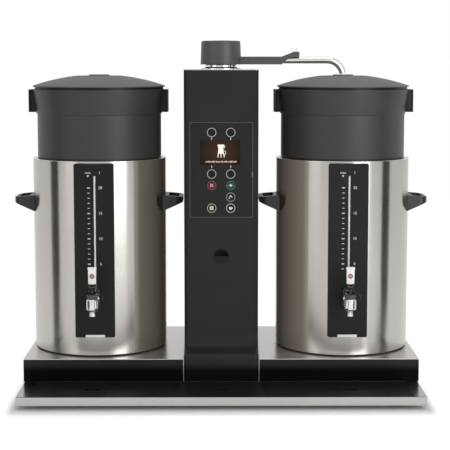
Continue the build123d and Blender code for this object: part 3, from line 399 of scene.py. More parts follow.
@dataclass(frozen=True)
class CoatedSheet(Finish):
    """Powder-coated sheet: fine tooth, faint patches, edges rubbed lighter, and painted shade at its foot
    when a foot is given.
    """

    colour: Spot = (0.020, 0.020, 0.022)
    roughness: float = 0.42
    tooth: float = 1100.0
    depth: float = 0.00006
    worn: Spot = (0.09, 0.09, 0.09)
    gloss: float = 0.2
    # Heights of the painted shade at the sheet's foot: below them the coat is painted darker and duller.
    foot: Flat | None = None

    def write(self, paint: Paint) -> None:
        """Fills in the material's nodes: below the heights of its foot the sheet is painted darker and
        duller, a painted shade standing in for a dark reflection low down.

        Args:
            paint: the material's nodes.
        """
        tooth = Effect.TOOTH.use(paint, Cells=self.tooth, Softness=0.5)
        patches = Effect.HANDLING.use(paint, Patches=9.0, Contrast=1.3)
        edges = Effect.EDGES.use(paint, Width=0.0012, Strength=2.2)
        plain = paint.tint(patches, shade(self.colour, 0.85), shade(self.colour, 1.18))
        colour = paint.tint(edges, plain, self.worn)
        paint.coat(Specular_IOR_Level=self.gloss)
        # Painted shade: towards the foot the colour falls to a quarter and the specular level to 0.02,
        # standing in for a dark reflection.
        if self.foot:
            low, high = self.foot
            place = paint.add("SeparateXYZ", Vector=paint.place())
            height = paint.math("SUBTRACT", place.outputs[2], low)
            above = paint.math("MULTIPLY", height, 1.0 / (high - low), clamp=True)
            colour = paint.tint(above, shade(self.colour, 0.25), colour)
            paint.coat(Specular_IOR_Level=paint.spread(above, 0.02, self.gloss))
        paint.coat(
            Base_Color=colour,
            Roughness=paint.spread(patches, self.roughness - 0.06, self.roughness + 0.06),
        )
        paint.relief(tooth, self.depth, 0.6)


@dataclass(frozen=True)
class Moulded(Finish):
    """Moulded plastic or rubber: eroded grain, slight tone changes and handled patches."""

    colour: Spot = (0.03, 0.03, 0.03)
    roughness: float = 0.4
    tooth: float = 1500.0
    depth: float = 0.00003
    gloss: float = 0.5

    def write(self, paint: Paint) -> None:
        """Fills in the material's nodes.

        Args:
            paint: the material's nodes.
        """
        tooth = Effect.TOOTH.use(paint, Cells=self.tooth, Softness=0.4)
        patches = Effect.HANDLING.use(paint, Patches=14.0, Contrast=1.2)
        edges = Effect.EDGES.use(paint, Width=0.0009, Strength=1.2)
        plain = paint.tint(patches, shade(self.colour, 0.88), shade(self.colour, 1.14))
        paint.coat(
            Base_Color=paint.tint(edges, plain, shade(self.colour, 1.9)),
            Roughness=paint.spread(patches, self.roughness - 0.05, self.roughness + 0.07),
            Specular_IOR_Level=self.gloss,
        )
        paint.relief(tooth, self.depth, 0.5)


@dataclass(frozen=True)
class Plated(Finish):
    """Plated or polished metal: clear reflections with faint swirls and dull patches."""

    colour: Spot = (0.80, 0.79, 0.76)
    roughness: float = 0.12
    swirls: float = 180.0

    def write(self, paint: Paint) -> None:
        """Fills in the material's nodes.

        Args:
            paint: the material's nodes.
        """
        across = self.swirls
        swirls = Effect.GRAIN.use(paint, Along_X=across, Along_Y=across, Along_Z=across * 2, Detail=4.0)
        dull = Effect.HANDLING.use(paint, Patches=30.0, Contrast=1.8)
        paint.coat(
            Base_Color=paint.tint(dull, shade(self.colour, 0.90), shade(self.colour, 1.06)),
            Roughness=paint.spread(dull, self.roughness - 0.04, self.roughness + 0.08),
            Metallic=1.0,
        )
        paint.relief(swirls, 0.00002, 0.25)


@dataclass(frozen=True)
class Printed(Finish):
    """Printed ink or a lit sign: a colour with a slight unevenness."""

    colour: Spot = (0.4, 0.4, 0.4)
    glow: float = 0.0

    def write(self, paint: Paint) -> None:
        """Fills in the material's nodes.

        Args:
            paint: the material's nodes.
        """
        tooth = Effect.TOOTH.use(paint, Cells=2600.0, Softness=0.6)
        colour = paint.tint(tooth, shade(self.colour, 0.82), shade(self.colour, 1.15))
        paint.coat(Base_Color=colour, Roughness=paint.spread(tooth, 0.35, 0.5))
        if self.glow:
            paint.coat(Emission_Color=colour, Emission_Strength=self.glow)


@dataclass(frozen=True)
class ClearGlass(Finish):
    """The gauge tube's glass, with faint drawing lines along it."""

    colour: Spot = (0.92, 0.94, 0.94)

    def write(self, paint: Paint) -> None:
        """Fills in the material's nodes.

        Args:
            paint: the material's nodes.
        """
        lines = Effect.GRAIN.use(paint, Along_X=900.0, Along_Y=900.0, Along_Z=8.0, Detail=2.0)
        paint.coat(
            Base_Color=paint.tint(lines, shade(self.colour, 0.93), self.colour),
            Roughness=paint.spread(lines, 0.03, 0.10),
            Transmission_Weight=0.85,
            IOR=1.45,
        )
        paint.relief(lines, 0.00002, 0.2)


@dataclass(frozen=True)
class Screen(Finish):
    """The display's dark brown lit glass, a little brighter in the middle of its backlight."""

    colour: Spot = (0.030, 0.016, 0.0085)
    centre: Spot = (0.0, 0.0, 0.0)

    def write(self, paint: Paint) -> None:
        """Fills in the material's nodes.

        Args:
            paint: the material's nodes.
        """
        offset = paint.vector("SUBTRACT", paint.place(), self.centre)
        reach = paint.vector("LENGTH", offset.outputs[0])
        fall = paint.math("MULTIPLY", reach.outputs["Value"], 17.0, clamp=True)
        smear = Effect.HANDLING.use(paint, Patches=40.0, Contrast=1.4)
        colour = paint.tint(fall, shade(self.colour, 1.5), shade(self.colour, 0.45))
        paint.coat(
            Base_Color=colour,
            Roughness=paint.spread(smear, 0.14, 0.26),
            Emission_Color=colour,
            Emission_Strength=0.35,
            Specular_IOR_Level=0.1,
        )


@dataclass(frozen=True)
class StudioCard(Finish):
    """A studio card with a faint glow, which a fade dims towards one end."""

    colour: Spot = (0.10, 0.095, 0.085)
    fade: Spot = (0.0, 0.0, 0.0)
    start: Spot = (0.0, 0.0, 0.0)

    def write(self, paint: Paint) -> None:
        """Fills in the material's nodes.

        Args:
            paint: the material's nodes.
        """
        glow = (*self.colour, 1.0)
        if any(self.fade):
            offset = paint.vector("SUBTRACT", paint.place(), self.start)
            along = paint.vector("DOT_PRODUCT", offset.outputs[0], self.fade)
            dim = paint.math("ADD", along.outputs["Value"], 0.0, clamp=True)
            glow = paint.tint(dim, self.colour, shade(self.colour, 0.22))
        paint.coat(
            Base_Color=(0.0, 0.0, 0.0, 1.0),
            Specular_IOR_Level=0.0,
            Emission_Color=glow,
            Emission_Strength=1.0,
        )


@dataclass(frozen=True)
class WoolBlanket(Finish):
    """Matted mineral wool."""

    colour: Spot = (0.55, 0.48, 0.30)

    def write(self, paint: Paint) -> None:
        """Fills in the material's nodes.

        Args:
            paint: the material's nodes.
        """
        tufts = Effect.GRAIN.use(paint, Along_X=160.0, Along_Y=160.0, Along_Z=420.0, Detail=6.0)
        paint.coat(
            Base_Color=paint.tint(tufts, shade(self.colour, 0.6), shade(self.colour, 1.3)),
            Roughness=paint.spread(tufts, 0.85, 1.0),
        )
        paint.relief(tufts, 0.002, 0.8)


STEEL_ROUND = BrushedSteel("steel_brushed_round", roughness=0.22, stretch=0.9, depth=0.00002)
STEEL_LONG = BrushedSteel("steel_brushed_long", (0.76, 0.745, 0.725), roughness=0.28,
                          lines=(3.0, 800.0, 800.0), across=(0.0, 1.0, 0.0), stretch=0.5)
STEEL_FACE = BrushedSteel("steel_brushed_face", (0.54, 0.525, 0.51), roughness=0.20,
                          lines=(3.0, 800.0, 800.0), stretch=0.3, depth=0.00002)
STEEL_MILL = BrushedSteel("steel_mill", (0.50, 0.50, 0.49), roughness=0.42, lines=(40.0, 300.0, 40.0),
                          stretch=0.2)
STEEL_RIM = Plated("steel_rim", (0.90, 0.89, 0.86), roughness=0.2, swirls=240.0)
NICKEL = Plated("nickel_satin", (0.80, 0.795, 0.785), roughness=0.16, swirls=200.0)
CHROME = Plated("chrome", (0.92, 0.91, 0.89), roughness=0.10)
STEEL_PIPE = Plated("steel_pipe", (0.93, 0.91, 0.87), roughness=0.09, swirls=90.0)
BRASS = Plated("brass_turned", (0.78, 0.60, 0.30), roughness=0.26, swirls=300.0)
COPPER = Plated("copper_drawn", (0.80, 0.46, 0.31), roughness=0.22, swirls=160.0)
# The tower's and the risers' coats carry painted shade below 84 mm, darkest below 64 mm.
BLACK_COAT_AND_SHADE = CoatedSheet("black_coat", foot=(0.064, 0.084))
BLACK_RISER_AND_SHADE = CoatedSheet("black_riser", (0.016, 0.016, 0.0165), roughness=0.36, tooth=1500.0, gloss=0.2,
                          foot=(0.064, 0.084))
BACK_COAT = CoatedSheet("black_back", (0.018, 0.018, 0.020), roughness=0.5)
FOIL = Moulded("panel_foil", (0.012, 0.012, 0.0125), roughness=0.40, tooth=2200.0, depth=0.00001,
               gloss=0.24)
KEY_FOIL = Moulded("key_foil", (0.010, 0.010, 0.0105), roughness=0.38, tooth=2000.0, depth=0.00002,
                   gloss=0.16)
PANEL_BLACK = Moulded("tap_panel_black", (0.010, 0.010, 0.0105), roughness=0.42, tooth=1300.0,
                      depth=0.00004, gloss=0.2)
HANDLE_BLACK = Moulded("handle_black", (0.016, 0.016, 0.017), roughness=0.34, tooth=1200.0)
GRID_BLACK = Moulded("grid_black", (0.008, 0.008, 0.0085), roughness=0.48, tooth=900.0, depth=0.00006,
                     gloss=0.15)
BASKET_GREY = Moulded("basket_grey", (0.037, 0.037, 0.0362), roughness=0.40, tooth=1100.0, gloss=0.45)
# The lid is the basket's grey plastic (both named for the grey_moulded slot), set about three times
# lighter: painted light for its top, lit from above.
LID_GREY = Moulded("lid_grey", (0.116, 0.116, 0.115), roughness=0.50, tooth=1100.0)
ARM_GREY = Moulded("arm_grey", (0.076, 0.075, 0.070), roughness=0.40, tooth=1000.0)
# Rubber of the feet; on the containers' plinths the same near-black is painted shade.
RUBBER_AND_PAINTED_SHADE = Moulded("dark_rubber", (0.015, 0.015, 0.015), roughness=0.75, tooth=700.0, depth=0.00008,
                      gloss=0.3)
# The tray's dark front line; in the outlet pipe's end and the taps' nozzles the same dark is painted shade.
DARK_LINE_AND_SHADE = Moulded("dark_line", (0.006, 0.006, 0.006), roughness=0.6, tooth=900.0, gloss=0.3)
# The lever pad's own white; on the tab under each tap panel the same white is a painted highlight.
PAD_WHITE_AND_HIGHLIGHT = Moulded("pad_white", (0.93, 0.92, 0.90), roughness=0.32, tooth=1400.0)
CIRCUIT_GREEN = Moulded("circuit_green", (0.03, 0.16, 0.07), roughness=0.5, tooth=600.0)
TUBE_GLASS = ClearGlass("tube_glass", (0.98, 0.98, 0.98))
TUBE_CORE = Printed("tube_core", (0.86, 0.86, 0.86))
WOOL = WoolBlanket("wool_blanket")
INK_GREY = Printed("ink_grey", (0.48, 0.48, 0.48))
INK_DIM = Printed("ink_dim", (0.30, 0.30, 0.30))
INK_BRIGHT = Printed("ink_bright", (0.52, 0.52, 0.52))
INK_WHITE = Printed("ink_white", (0.85, 0.85, 0.84))
INK_CREAM = Printed("ink_cream", (0.82, 0.81, 0.70))
INK_PINK = Printed("ink_pink", (0.85, 0.45, 0.52))
INK_RED = Printed("ink_red", (0.33, 0.045, 0.085))
FIELD_RED = Printed("field_red", (0.07, 0.004, 0.012))
INK_GREEN = Printed("ink_green", (0.022, 0.18, 0.125))
FIELD_GREEN = Printed("field_green", (0.004, 0.045, 0.030))
INK_AMBER = Printed("ink_amber", (0.48, 0.47, 0.30))
DOT_BROWN = Printed("dot_brown", (0.30, 0.16, 0.13))
DOT_PALE = Printed("dot_pale", (0.46, 0.31, 0.27))
LIT_WHITE = Printed("lit_white", (0.88, 0.85, 0.81), glow=0.35)
LIT_TAN = Printed("lit_tan", (0.58, 0.42, 0.32), glow=0.3)
TRIM_GREY = Moulded("trim_grey", (0.055, 0.055, 0.055), roughness=0.4, tooth=1600.0, gloss=0.4)
LATCH_GREY = Moulded("latch_grey", (0.15, 0.15, 0.15), roughness=0.35, tooth=1600.0)
COLLAR_GREY = Moulded("collar_grey", (0.07, 0.07, 0.07), roughness=0.3, tooth=1200.0)
# Black of the lever's neck; on the basket grips' webs and in the lids' recess the same black is painted
# shade.
BLACK_AND_PAINTED_SHADE = Moulded("web_black", (0.008, 0.008, 0.008), roughness=0.4, tooth=1100.0, gloss=0.25)


# ---------------------------------------------------------------- shapes
def rounded(corners: list[tuple], steps: int = 4) -> list[Flat]:
    """Rounds the corners of a closed outline.

    Args:
        corners: (u, v) or (u, v, radius) in order round the outline.
        steps: points in each rounded corner, less one.

    Returns:
        The outline's points.
    """
    points: list[Flat] = []
    count = len(corners)
    for index, corner in enumerate(corners):
        here = Vector(corner[:2])
        radius = corner[2] if len(corner) > 2 else 0.0
        back = Vector(corners[index - 1][:2]) - here
        ahead = Vector(corners[(index + 1) % count][:2]) - here
        if radius <= 0 or back.length == 0 or ahead.length == 0:
            points.append(tuple(here))
            continue
        angle = back.angle(ahead)
        if angle > math.pi - 0.01:
            points.append(tuple(here))
            continue
        reach = min(radius / math.tan(angle / 2), 0.49 * back.length, 0.49 * ahead.length)
        radius = reach * math.tan(angle / 2)
        middle = here + (back.normalized() + ahead.normalized()).normalized() * radius / math.sin(angle / 2)
        first = here + back.normalized() * reach - middle
        last = here + ahead.normalized() * reach - middle
        turn = first.angle_signed(last)
        for step in range(steps + 1):
            arm = first.copy()
            arm.rotate(Matrix.Rotation(-turn * step / steps, 2))
            points.append(tuple(middle + arm))
    return points


def stand(name: str, data: bpy.types.ID) -> bpy.types.Object:
    """Puts a mesh, curve, lamp or camera in the scene.

    Args:
        name: the object's name.
        data: what it shows.

    Returns:
        The object.
    """
    thing = bpy.data.objects.new(name, data)
    bpy.context.scene.collection.objects.link(thing)
    return thing


def band(inner: float, outer: float, low: float, high: float) -> list[Flat]:
    """The outline of a plain ring or disc, to be turned."""
    return [(inner, low), (outer, low), (outer, high), (inner, high)]


def axis_of(low: Spot, high: Spot) -> Flat:
    """The middle of a box, seen from above."""
    return (low[0] + high[0]) / 2, (low[1] + high[1]) / 2


@dataclass(frozen=True)
class RoundNode:
    """A round upright node's axis, radius and heights."""

    axis: Flat
    radius: float
    low: float
    high: float

    @classmethod
    def of(cls, node: str) -> "RoundNode":
        """Reads them off the node's box."""
        low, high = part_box(node)
        return cls(axis_of(low, high), (high[0] - low[0]) / 2, low[2], high[2])


def folds(mesh: bmesh.types.BMesh, degrees: float) -> list[bmesh.types.BMEdge]:
    """A mesh's edges between two faces that turn by more than an angle."""
    least = math.radians(degrees)
    return [line for line in mesh.edges if len(line.link_faces) == 2 and line.calc_face_angle(0) > least]


def ease(mesh: bmesh.types.BMesh, edges: list[bmesh.types.BMEdge], width: float, steps: int = 2) -> None:
    """Rounds some of a mesh's edges.

    Args:
        mesh: the mesh.
        edges: the edges.
        width: how far from the edge the rounding starts.
        steps: faces across it.
    """
    bmesh.ops.bevel(mesh, geom=edges, offset=width, segments=steps, profile=0.5, affect="EDGES",
                    clamp_overlap=True)


class Shape:
    """A mesh being built, which ends as one named piece on a body."""

    def __init__(self) -> None:
        """Starts empty."""
        self.mesh = bmesh.new()

    def turn(self, outline: list[Flat], axis: Flat = (0.0, 0.0), segments: int = 96) -> "Shape":
        """Turns a closed outline about an upright axis.

        Args:
            outline: (radius, z) points.
            axis: the axis' x and y.
            segments: steps round.

        Returns:
            The shape itself.
        """
        rings = []
        for radius, height in outline:
            if radius < 1e-7:
                rings.append([self.mesh.verts.new((axis[0], axis[1], height))] * segments)
                continue
            ring = []
            for step in range(segments):
                angle = 2 * math.pi * step / segments
                spot = (axis[0] + radius * math.cos(angle), axis[1] + radius * math.sin(angle), height)
                ring.append(self.mesh.verts.new(spot))
            rings.append(ring)
        for index, ring in enumerate(rings):
            other = rings[(index + 1) % len(rings)]
            for step in range(segments):
                after = (step + 1) % segments
                corners = [ring[step], ring[after], other[after], other[step]]
                corners = [vert for place, vert in enumerate(corners) if vert not in corners[:place]]
                if len(corners) > 2:
                    self.mesh.faces.new(corners)
        return self

    def block(self, low: Spot, high: Spot, edge: float = 0.0, steps: int = 2) -> "Shape":
        """Adds a block with rounded edges.

        Args:
            low: its lowest corner.
            high: its highest corner.
            edge: the edges' radius.
            steps: faces across each rounded edge.

        Returns:
            The shape itself.
        """
        size = [b - a for a, b in zip(low, high)]
        middle = [(a + b) / 2 for a, b in zip(low, high)]
        place = Matrix.Translation(middle) @ Matrix.Diagonal((*size, 1.0))
        made = bmesh.ops.create_cube(self.mesh, size=1.0, matrix=place)
        if edge:
            edges = {line for vert in made["verts"] for line in vert.link_edges}
            ease(self.mesh, list(edges), edge, steps)
        return self

    def prism(self, outline: list[Flat], plane: str, low: float, high: float,
              edge: float = 0.0, origin: Flat = (0.0, 0.0), holes: tuple = ()) -> "Shape":
        """Adds a flat plate or bar from its outline.

        Args:
            outline: its points, anticlockwise.
            plane: "XZ", "XY" or "YZ", the plane of the outline.
            low: its lower end across the plane.
            high: its upper end across the plane.
            edge: the radius of its outer edges.
            origin: the outline's middle in the plane.
            holes: outlines cut out of it.

        Returns:
            The shape itself.
        """
        def spot(point: Flat, depth: float) -> Spot:
            """A point of the outline, set in space."""
            u, v = point[0] + origin[0], point[1] + origin[1]
            return {"XZ": (u, depth, v), "XY": (u, v, depth), "YZ": (depth, u, v)}[plane]

        loops = [outline, *holes]
        sheet = bmesh.new()
        for loop in loops:
            verts = [sheet.verts.new(spot(point, low)) for point in loop]
            for index, vert in enumerate(verts):
                sheet.edges.new((verts[index - 1], vert))
        bmesh.ops.triangle_fill(sheet, use_beauty=True, use_dissolve=True, edges=sheet.edges[:])
        grown = bmesh.ops.extrude_face_region(sheet, geom=sheet.faces[:])
        shift = Vector(spot((-origin[0], -origin[1]), high)) - Vector(spot((-origin[0], -origin[1]), low))
        moved = [item for item in grown["geom"] if isinstance(item, bmesh.types.BMVert)]
        bmesh.ops.translate(sheet, verts=moved, vec=shift)
        bmesh.ops.recalc_face_normals(sheet, faces=sheet.faces[:])
        if edge:
            ease(sheet, folds(sheet, 60.0), edge)
        self.take(sheet)
        return self

    def sweep(self, path: list[Vector], radius: float | list[float], segments: int = 16,
              closed: bool = False) -> "Shape":
        """Adds a round bar along a path.

        Args:
            path: the points of its middle line.
            radius: its radius, or one for each point.
            segments: steps round it.
            closed: whether its end joins its start.

        Returns:
            The shape itself.
        """
        path = [Vector(point) for point in path]
        radii = radius if isinstance(radius, list) else [radius] * len(path)
        count = len(path)
        rings = []
        side = None
        for index, point in enumerate(path):
            before = path[index - 1] if closed or index else point
            after = path[(index + 1) % count] if closed or index < count - 1 else point
            ahead = (after - before).normalized()
            if side is None:
                side = ahead.orthogonal().normalized()
            side = (side - ahead * side.dot(ahead)).normalized()
            up = ahead.cross(side)
            ring = []
            for step in range(segments):
                angle = 2 * math.pi * step / segments
                arm = side * math.cos(angle) + up * math.sin(angle)
                ring.append(self.mesh.verts.new(point + arm * radii[index]))
            rings.append(ring)
        pairs = zip(rings, rings[1:] + rings[:1] if closed else rings[1:])
        for ring, other in pairs:
            for step in range(segments):
                after = (step + 1) % segments
                self.mesh.faces.new((ring[step], ring[after], other[after], other[step]))
        if not closed:
            self.mesh.faces.new(rings[0])
            self.mesh.faces.new(rings[-1])
        return self

    def take(self, other: bmesh.types.BMesh, move: Matrix | None = None) -> "Shape":
        """Adds another mesh, and frees it.

        Args:
            other: the mesh.
            move: where to put it.

        Returns:
            The shape itself.
        """
        if move:
            bmesh.ops.transform(other, matrix=move, verts=other.verts[:])
        held = bpy.data.meshes.new("held")
        other.to_mesh(held)
        other.free()
        self.mesh.from_mesh(held)
        bpy.data.meshes.remove(held)
        return self

    def move(self, matrix: Matrix) -> "Shape":
        """Moves all of the shape."""
        bmesh.ops.transform(self.mesh, matrix=matrix, verts=self.mesh.verts[:])
        return self

    def text(self, words: str, size: float, place: Spot) -> "Shape":
        """Adds upright lettering that faces the front.

        Args:
            words: what it says.
            size: its height in metres.
            place: the middle of it.

        Returns:
            The shape itself.
        """
        curve = bpy.data.curves.new("words", "FONT")
        curve.body = words
        curve.size = size * 1.4
        curve.extrude = 0.00008
        curve.align_x = "CENTER"
        curve.align_y = "CENTER"
        holder = stand("words", curve)
        bpy.context.view_layer.update()
        graph = bpy.context.evaluated_depsgraph_get()
        flat = bpy.data.meshes.new_from_object(holder.evaluated_get(graph))
        bpy.data.objects.remove(holder)
        bpy.data.curves.remove(curve)
        letters = bmesh.new()
        letters.from_mesh(flat)
        bpy.data.meshes.remove(flat)
        return self.take(letters, Matrix.Translation(place) @ Matrix.Rotation(math.radians(90), 4, "X"))

    def piece(self, name: str, body: str, finish: Finish, slot: str, replaces: tuple[str, ...] = (),
              sharp: float = SHARP) -> bpy.types.Object:
        """Ends the shape as one piece.

        Args:
            name: the piece's name.
            body: the body that it rides on.
            finish: its finish.
            slot: the record's slot for the piece; not used.
            replaces: the nodes that it stands for.
            sharp: the angle from which an edge shows as sharp.

        Returns:
            The piece.
        """
        bmesh.ops.remove_doubles(self.mesh, verts=self.mesh.verts[:], dist=1e-6)
        bmesh.ops.recalc_face_normals(self.mesh, faces=self.mesh.faces[:])
        for face in self.mesh.faces:
            face.smooth = True
        for line in self.mesh.edges:
            line.smooth = line.calc_face_angle(math.pi) < sharp
        data = bpy.data.meshes.new(name)
        self.mesh.to_mesh(data)
        self.mesh.free()
        data.materials.append(finish.material())
        thing = stand(name, data)
        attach(thing, body)
        if replaces:
            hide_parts(*replaces)
        LOG.info("%s rides on %s: %d faces", name, body, len(data.polygons))
        return thing


def dress(finish: Finish, *nodes: str) -> None:
    """Gives carried-over nodes a finish.

    Args:
        finish: the finish.
        nodes: the nodes' names.
    """
    for name in nodes:
        thing = FRAME["nodes"][name]
        thing.data.materials.clear()
        thing.data.materials.append(finish.material())
        LOG.info("%s keeps its solid, in %s", name, finish.name)


def ring_points(centre: Vector, radius: float, count: int, start: float = 0.0,
                sweep: float = 2 * math.pi) -> list[Vector]:
    """Points on an arc that faces the front.

    Args:
        centre: its middle.
        radius: its radius.
        count: how many points.
        start: the first point's angle from +X.
        sweep: the arc's angle.

    Returns:
        The points.
    """
    share = sweep / (count if sweep >= 2 * math.pi else count - 1)
    return [centre + Vector((math.cos(start + share * i), 0.0, math.sin(start + share * i))) * radius
            for i in range(count)]


# ---------------------------------------------------------------- base
@dataclass
class Base:
    """The steel base: pan, decks, risers, drip tray with its grids, and feet."""

    edge_line: float = 3.0 * MM
    edge_rise: float = 0.25 * MM

    def build(self) -> None:
        """Dresses the base and adds the tray's dark front line."""
        dress(STEEL_MILL, "base_pan")
        dress(STEEL_LONG, "deck_left", "deck_right")
        dress(BLACK_RISER_AND_SHADE, "riser_left", "riser_right")
        dress(STEEL_FACE, "drip_tray")
        dress(GRID_BLACK, "drip_grid_left", "drip_grid_centre", "drip_grid_right")
        dress(RUBBER_AND_PAINTED_SHADE, "feet")
        low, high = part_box("drip_tray")
        line = Shape()
        line.block((low[0] + MM, low[1] + 0.3 * MM, high[2] - MM),
                   (high[0] - MM, low[1] + self.edge_line, high[2] + self.edge_rise), 0.2 * MM)
        line.piece("tray_edge_line", "root", DARK_LINE_AND_SHADE, "rubber")


# ---------------------------------------------------------------- tower
@dataclass
class Tower:
    """The black tower: casing, back cover with its louvres, top plate and finger cup."""

    louvres: int = 9
    louvre_width: float = 70.0 * MM
    louvre_pitch: float = 16.0 * MM
    louvre_rise: float = 3.0 * MM
    louvre_z: float = 0.62

    def build(self) -> None:
        """Dresses the tower and adds its louvres."""
        dress(BLACK_COAT_AND_SHADE, "tower_casing")
        dress(BACK_COAT, "back_cover")
        dress(CHROME, "back_screws")
        dress(STEEL_LONG, "top_plate")
        dress(PANEL_BLACK, "service_cup")
        dress(STEEL_MILL, "boiler")
        dress(CHROME, "heating_element")
        dress(HANDLE_BLACK, "inlet_valve", "cable_gland")
        dress(COPPER, "supply_pipe", "riser_pipe")
        dress(BRASS, "water_inlet")
        dress(CIRCUIT_GREEN, "relay_board", "control_board")
        self.build_louvres()

    def build_louvres(self) -> None:
        """Adds the pressed louvres of the back cover."""
        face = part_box("back_cover")[1][1]
        louvres = Shape()
        for column in (-1, 1):
            for row in range(self.louvres):
                z = self.louvre_z + row * self.louvre_pitch
                x = column * self.louvre_width * 0.62
                half = self.louvre_width / 2
                outline = rounded([(face - 0.4 * MM, z), (face + self.louvre_rise, z, 0.8 * MM),
                                   (face + self.louvre_rise * 0.8, z + 2.5 * MM, 1.5 * MM),
                                   (face - 0.4 * MM, z + 8.0 * MM, 2.0 * MM)], 3)
                louvres.prism(outline, "YZ", x - half, x + half, 0.4 * MM)
        louvres.piece("back_louvres", "root", BACK_COAT, "black_casing")


# ---------------------------------------------------------------- control panel
class Icon(Enum):
    """What a key's face shows."""

    NONE = "none"
    CROSS = "cross"
    ARROW = "arrow"
    TAP = "tap"
    SQUARES = "squares"
    CUP = "cup"


@dataclass(frozen=True)
class KeyLook:
    """One key's print."""

    ring: Finish
    field: Finish | None = None
    icon: Icon = Icon.NONE
    icon_ink: Finish = INK_WHITE
    ring_width: float = 1.8 * MM


@dataclass
class ControlPanel:
    """The control panel: bezel with its frame, display and nine round keys."""

    frame_width: float = 2.6 * MM
    frame_inset: float = 0.6 * MM
    frame_rise: float = 0.35 * MM
    corner: float = 4.0 * MM
    print_rise: float = 0.12 * MM
    face_drop: float = 0.15 * MM
    key_neck: float = 5.8 * MM
    key_flange: float = 1.2 * MM
    key_stem: float = 3.0 * MM
    looks: tuple = (("key_select_top_left", KeyLook(INK_GREY)),
                    ("key_select_top_right", KeyLook(INK_GREY)),
                    ("key_select_low_left", KeyLook(INK_GREY)),
                    ("key_select_low_right", KeyLook(INK_GREY)),
                    ("key_stop", KeyLook(INK_RED, FIELD_RED, Icon.CROSS, INK_PINK)),
                    ("key_start", KeyLook(INK_GREEN, FIELD_GREEN, Icon.ARROW)),
                    ("key_hot_water", KeyLook(INK_DIM, None, Icon.TAP)),
                    ("key_timer", KeyLook(INK_AMBER, None, Icon.SQUARES, INK_CREAM)),
                    ("key_half_batch", KeyLook(INK_BRIGHT, None, Icon.CUP)))

    def build(self) -> None:
        """Builds the panel's pieces."""
        dress(FOIL, "panel_bezel")
        low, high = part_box("display_window")
        middle = tuple((a + b) / 2 for a, b in zip(low, high))
        dress(Screen("screen_brown", centre=middle), "display_window")
        self.build_frame()
        self.build_figure(low, high)
        self.build_bars(low)
        for name, look in self.looks:
            self.build_key(name, look)
        self.build_ticks()

    def build_frame(self) -> None:
        """Adds the light line round the bezel, with its latch on the right."""
        low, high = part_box("panel_bezel")
        half_w = (high[0] - low[0]) / 2 - self.frame_inset
        half_h = (high[2] - low[2]) / 2 - self.frame_inset
        middle = ((low[0] + high[0]) / 2, (low[2] + high[2]) / 2)

        def outline(inset: float, corner: float) -> list[Flat]:
            """A rounded rectangle, inset from the frame's outer edge."""
            w, h = half_w - inset, half_h - inset
            return rounded([(-w, -h, corner), (w, -h, corner), (w, h, corner), (-w, h, corner)], 5)

        frame = Shape()
        inner = outline(self.frame_width, self.corner - self.frame_width / 2)
        frame.prism(outline(0.0, self.corner), "XZ", low[1] - self.frame_rise, low[1] + 0.2 * MM,
                    0.12 * MM, middle, (inner,))
        frame.piece("panel_frame", "root", TRIM_GREY, "bezel_black")
        latch = Shape()
        latch.block((high[0] - 4.6 * MM, low[1] - 1.4 * MM, middle[1] - 18.0 * MM),
                    (high[0] - 0.4 * MM, low[1] + 0.2 * MM, middle[1] - 5.5 * MM), 1.3 * MM, 3)
        latch.piece("panel_latch", "root", LATCH_GREY, "bezel_black")

    def build_figure(self, low: Spot, high: Spot) -> None:
        """Adds the display's lit brewing figure.

        Args:
            low: the display's lowest corner.
            high: its highest corner.
        """
        front, back = low[1] - self.print_rise, low[1] + 0.05 * MM
        x = (low[0] + high[0]) / 2 + 3.0 * MM
        z = low[2] + 19.0 * MM
        figure = Shape()
        jug = rounded([(-10.4 * MM, 36.5 * MM, 0.8 * MM), (-7.4 * MM, 25.0 * MM, 3 * MM),
                       (-9.0 * MM, 11.5 * MM, 0.8 * MM), (7.6 * MM, 11.5 * MM, 0.8 * MM),
                       (5.6 * MM, 25.0 * MM, 3 * MM), (8.4 * MM, 36.5 * MM, 0.8 * MM)], 3)
        figure.prism(jug, "XZ", front, back, 0.0, (x, z))
        for leg, lean in ((-8.0, -1.0), (-0.6, 0.0), (6.8, 1.4)):
            bar = [(leg * MM - 1.2 * MM, 11.8 * MM), ((leg + lean) * MM - 1.2 * MM, 1.5 * MM),
                   ((leg + lean) * MM + 1.2 * MM, 1.5 * MM), (leg * MM + 1.2 * MM, 11.8 * MM)]
            figure.prism(bar, "XZ", front, back, 0.0, (x, z))
        middle_y = (front + back) / 2
        for lift, reach, start in ((30.5, 4.0, -0.4), (14.0, 6.4, -0.5)):
            arc = ring_points(Vector((x + 6.0 * MM, middle_y, z + lift * MM)), reach * MM, 13,
                              start * math.pi, math.pi * 0.9)
            figure.sweep(arc, 0.75 * MM, 6)
        figure.piece("display_figure", "root", LIT_WHITE, "display_brown")

    def build_bars(self, low: Spot) -> None:
        """Adds the row of short bars below the figure.

        Args:
            low: the display's lowest corner.
        """
        front, back = low[1] - self.print_rise, low[1] + 0.05 * MM
        bars = Shape()
        start = low[0] + 15.0 * MM
        for place, width, tall in ((0, 4, 3), (5, 7, 4), (13, 3, 3), (17, 9, 4), (28, 3, 4), (32, 8, 3),
                                   (42, 5, 4), (48, 3, 3), (52, 7, 4), (61, 4, 3), (66, 8, 4), (75, 3, 3),
                                   (79, 5, 4)):
            bars.block((start + place * MM, front, low[2] + 6.8 * MM),
                       (start + (place + width) * MM, back, low[2] + (6.8 + tall) * MM))
        bars.piece("display_bars", "root", LIT_TAN, "display_brown")

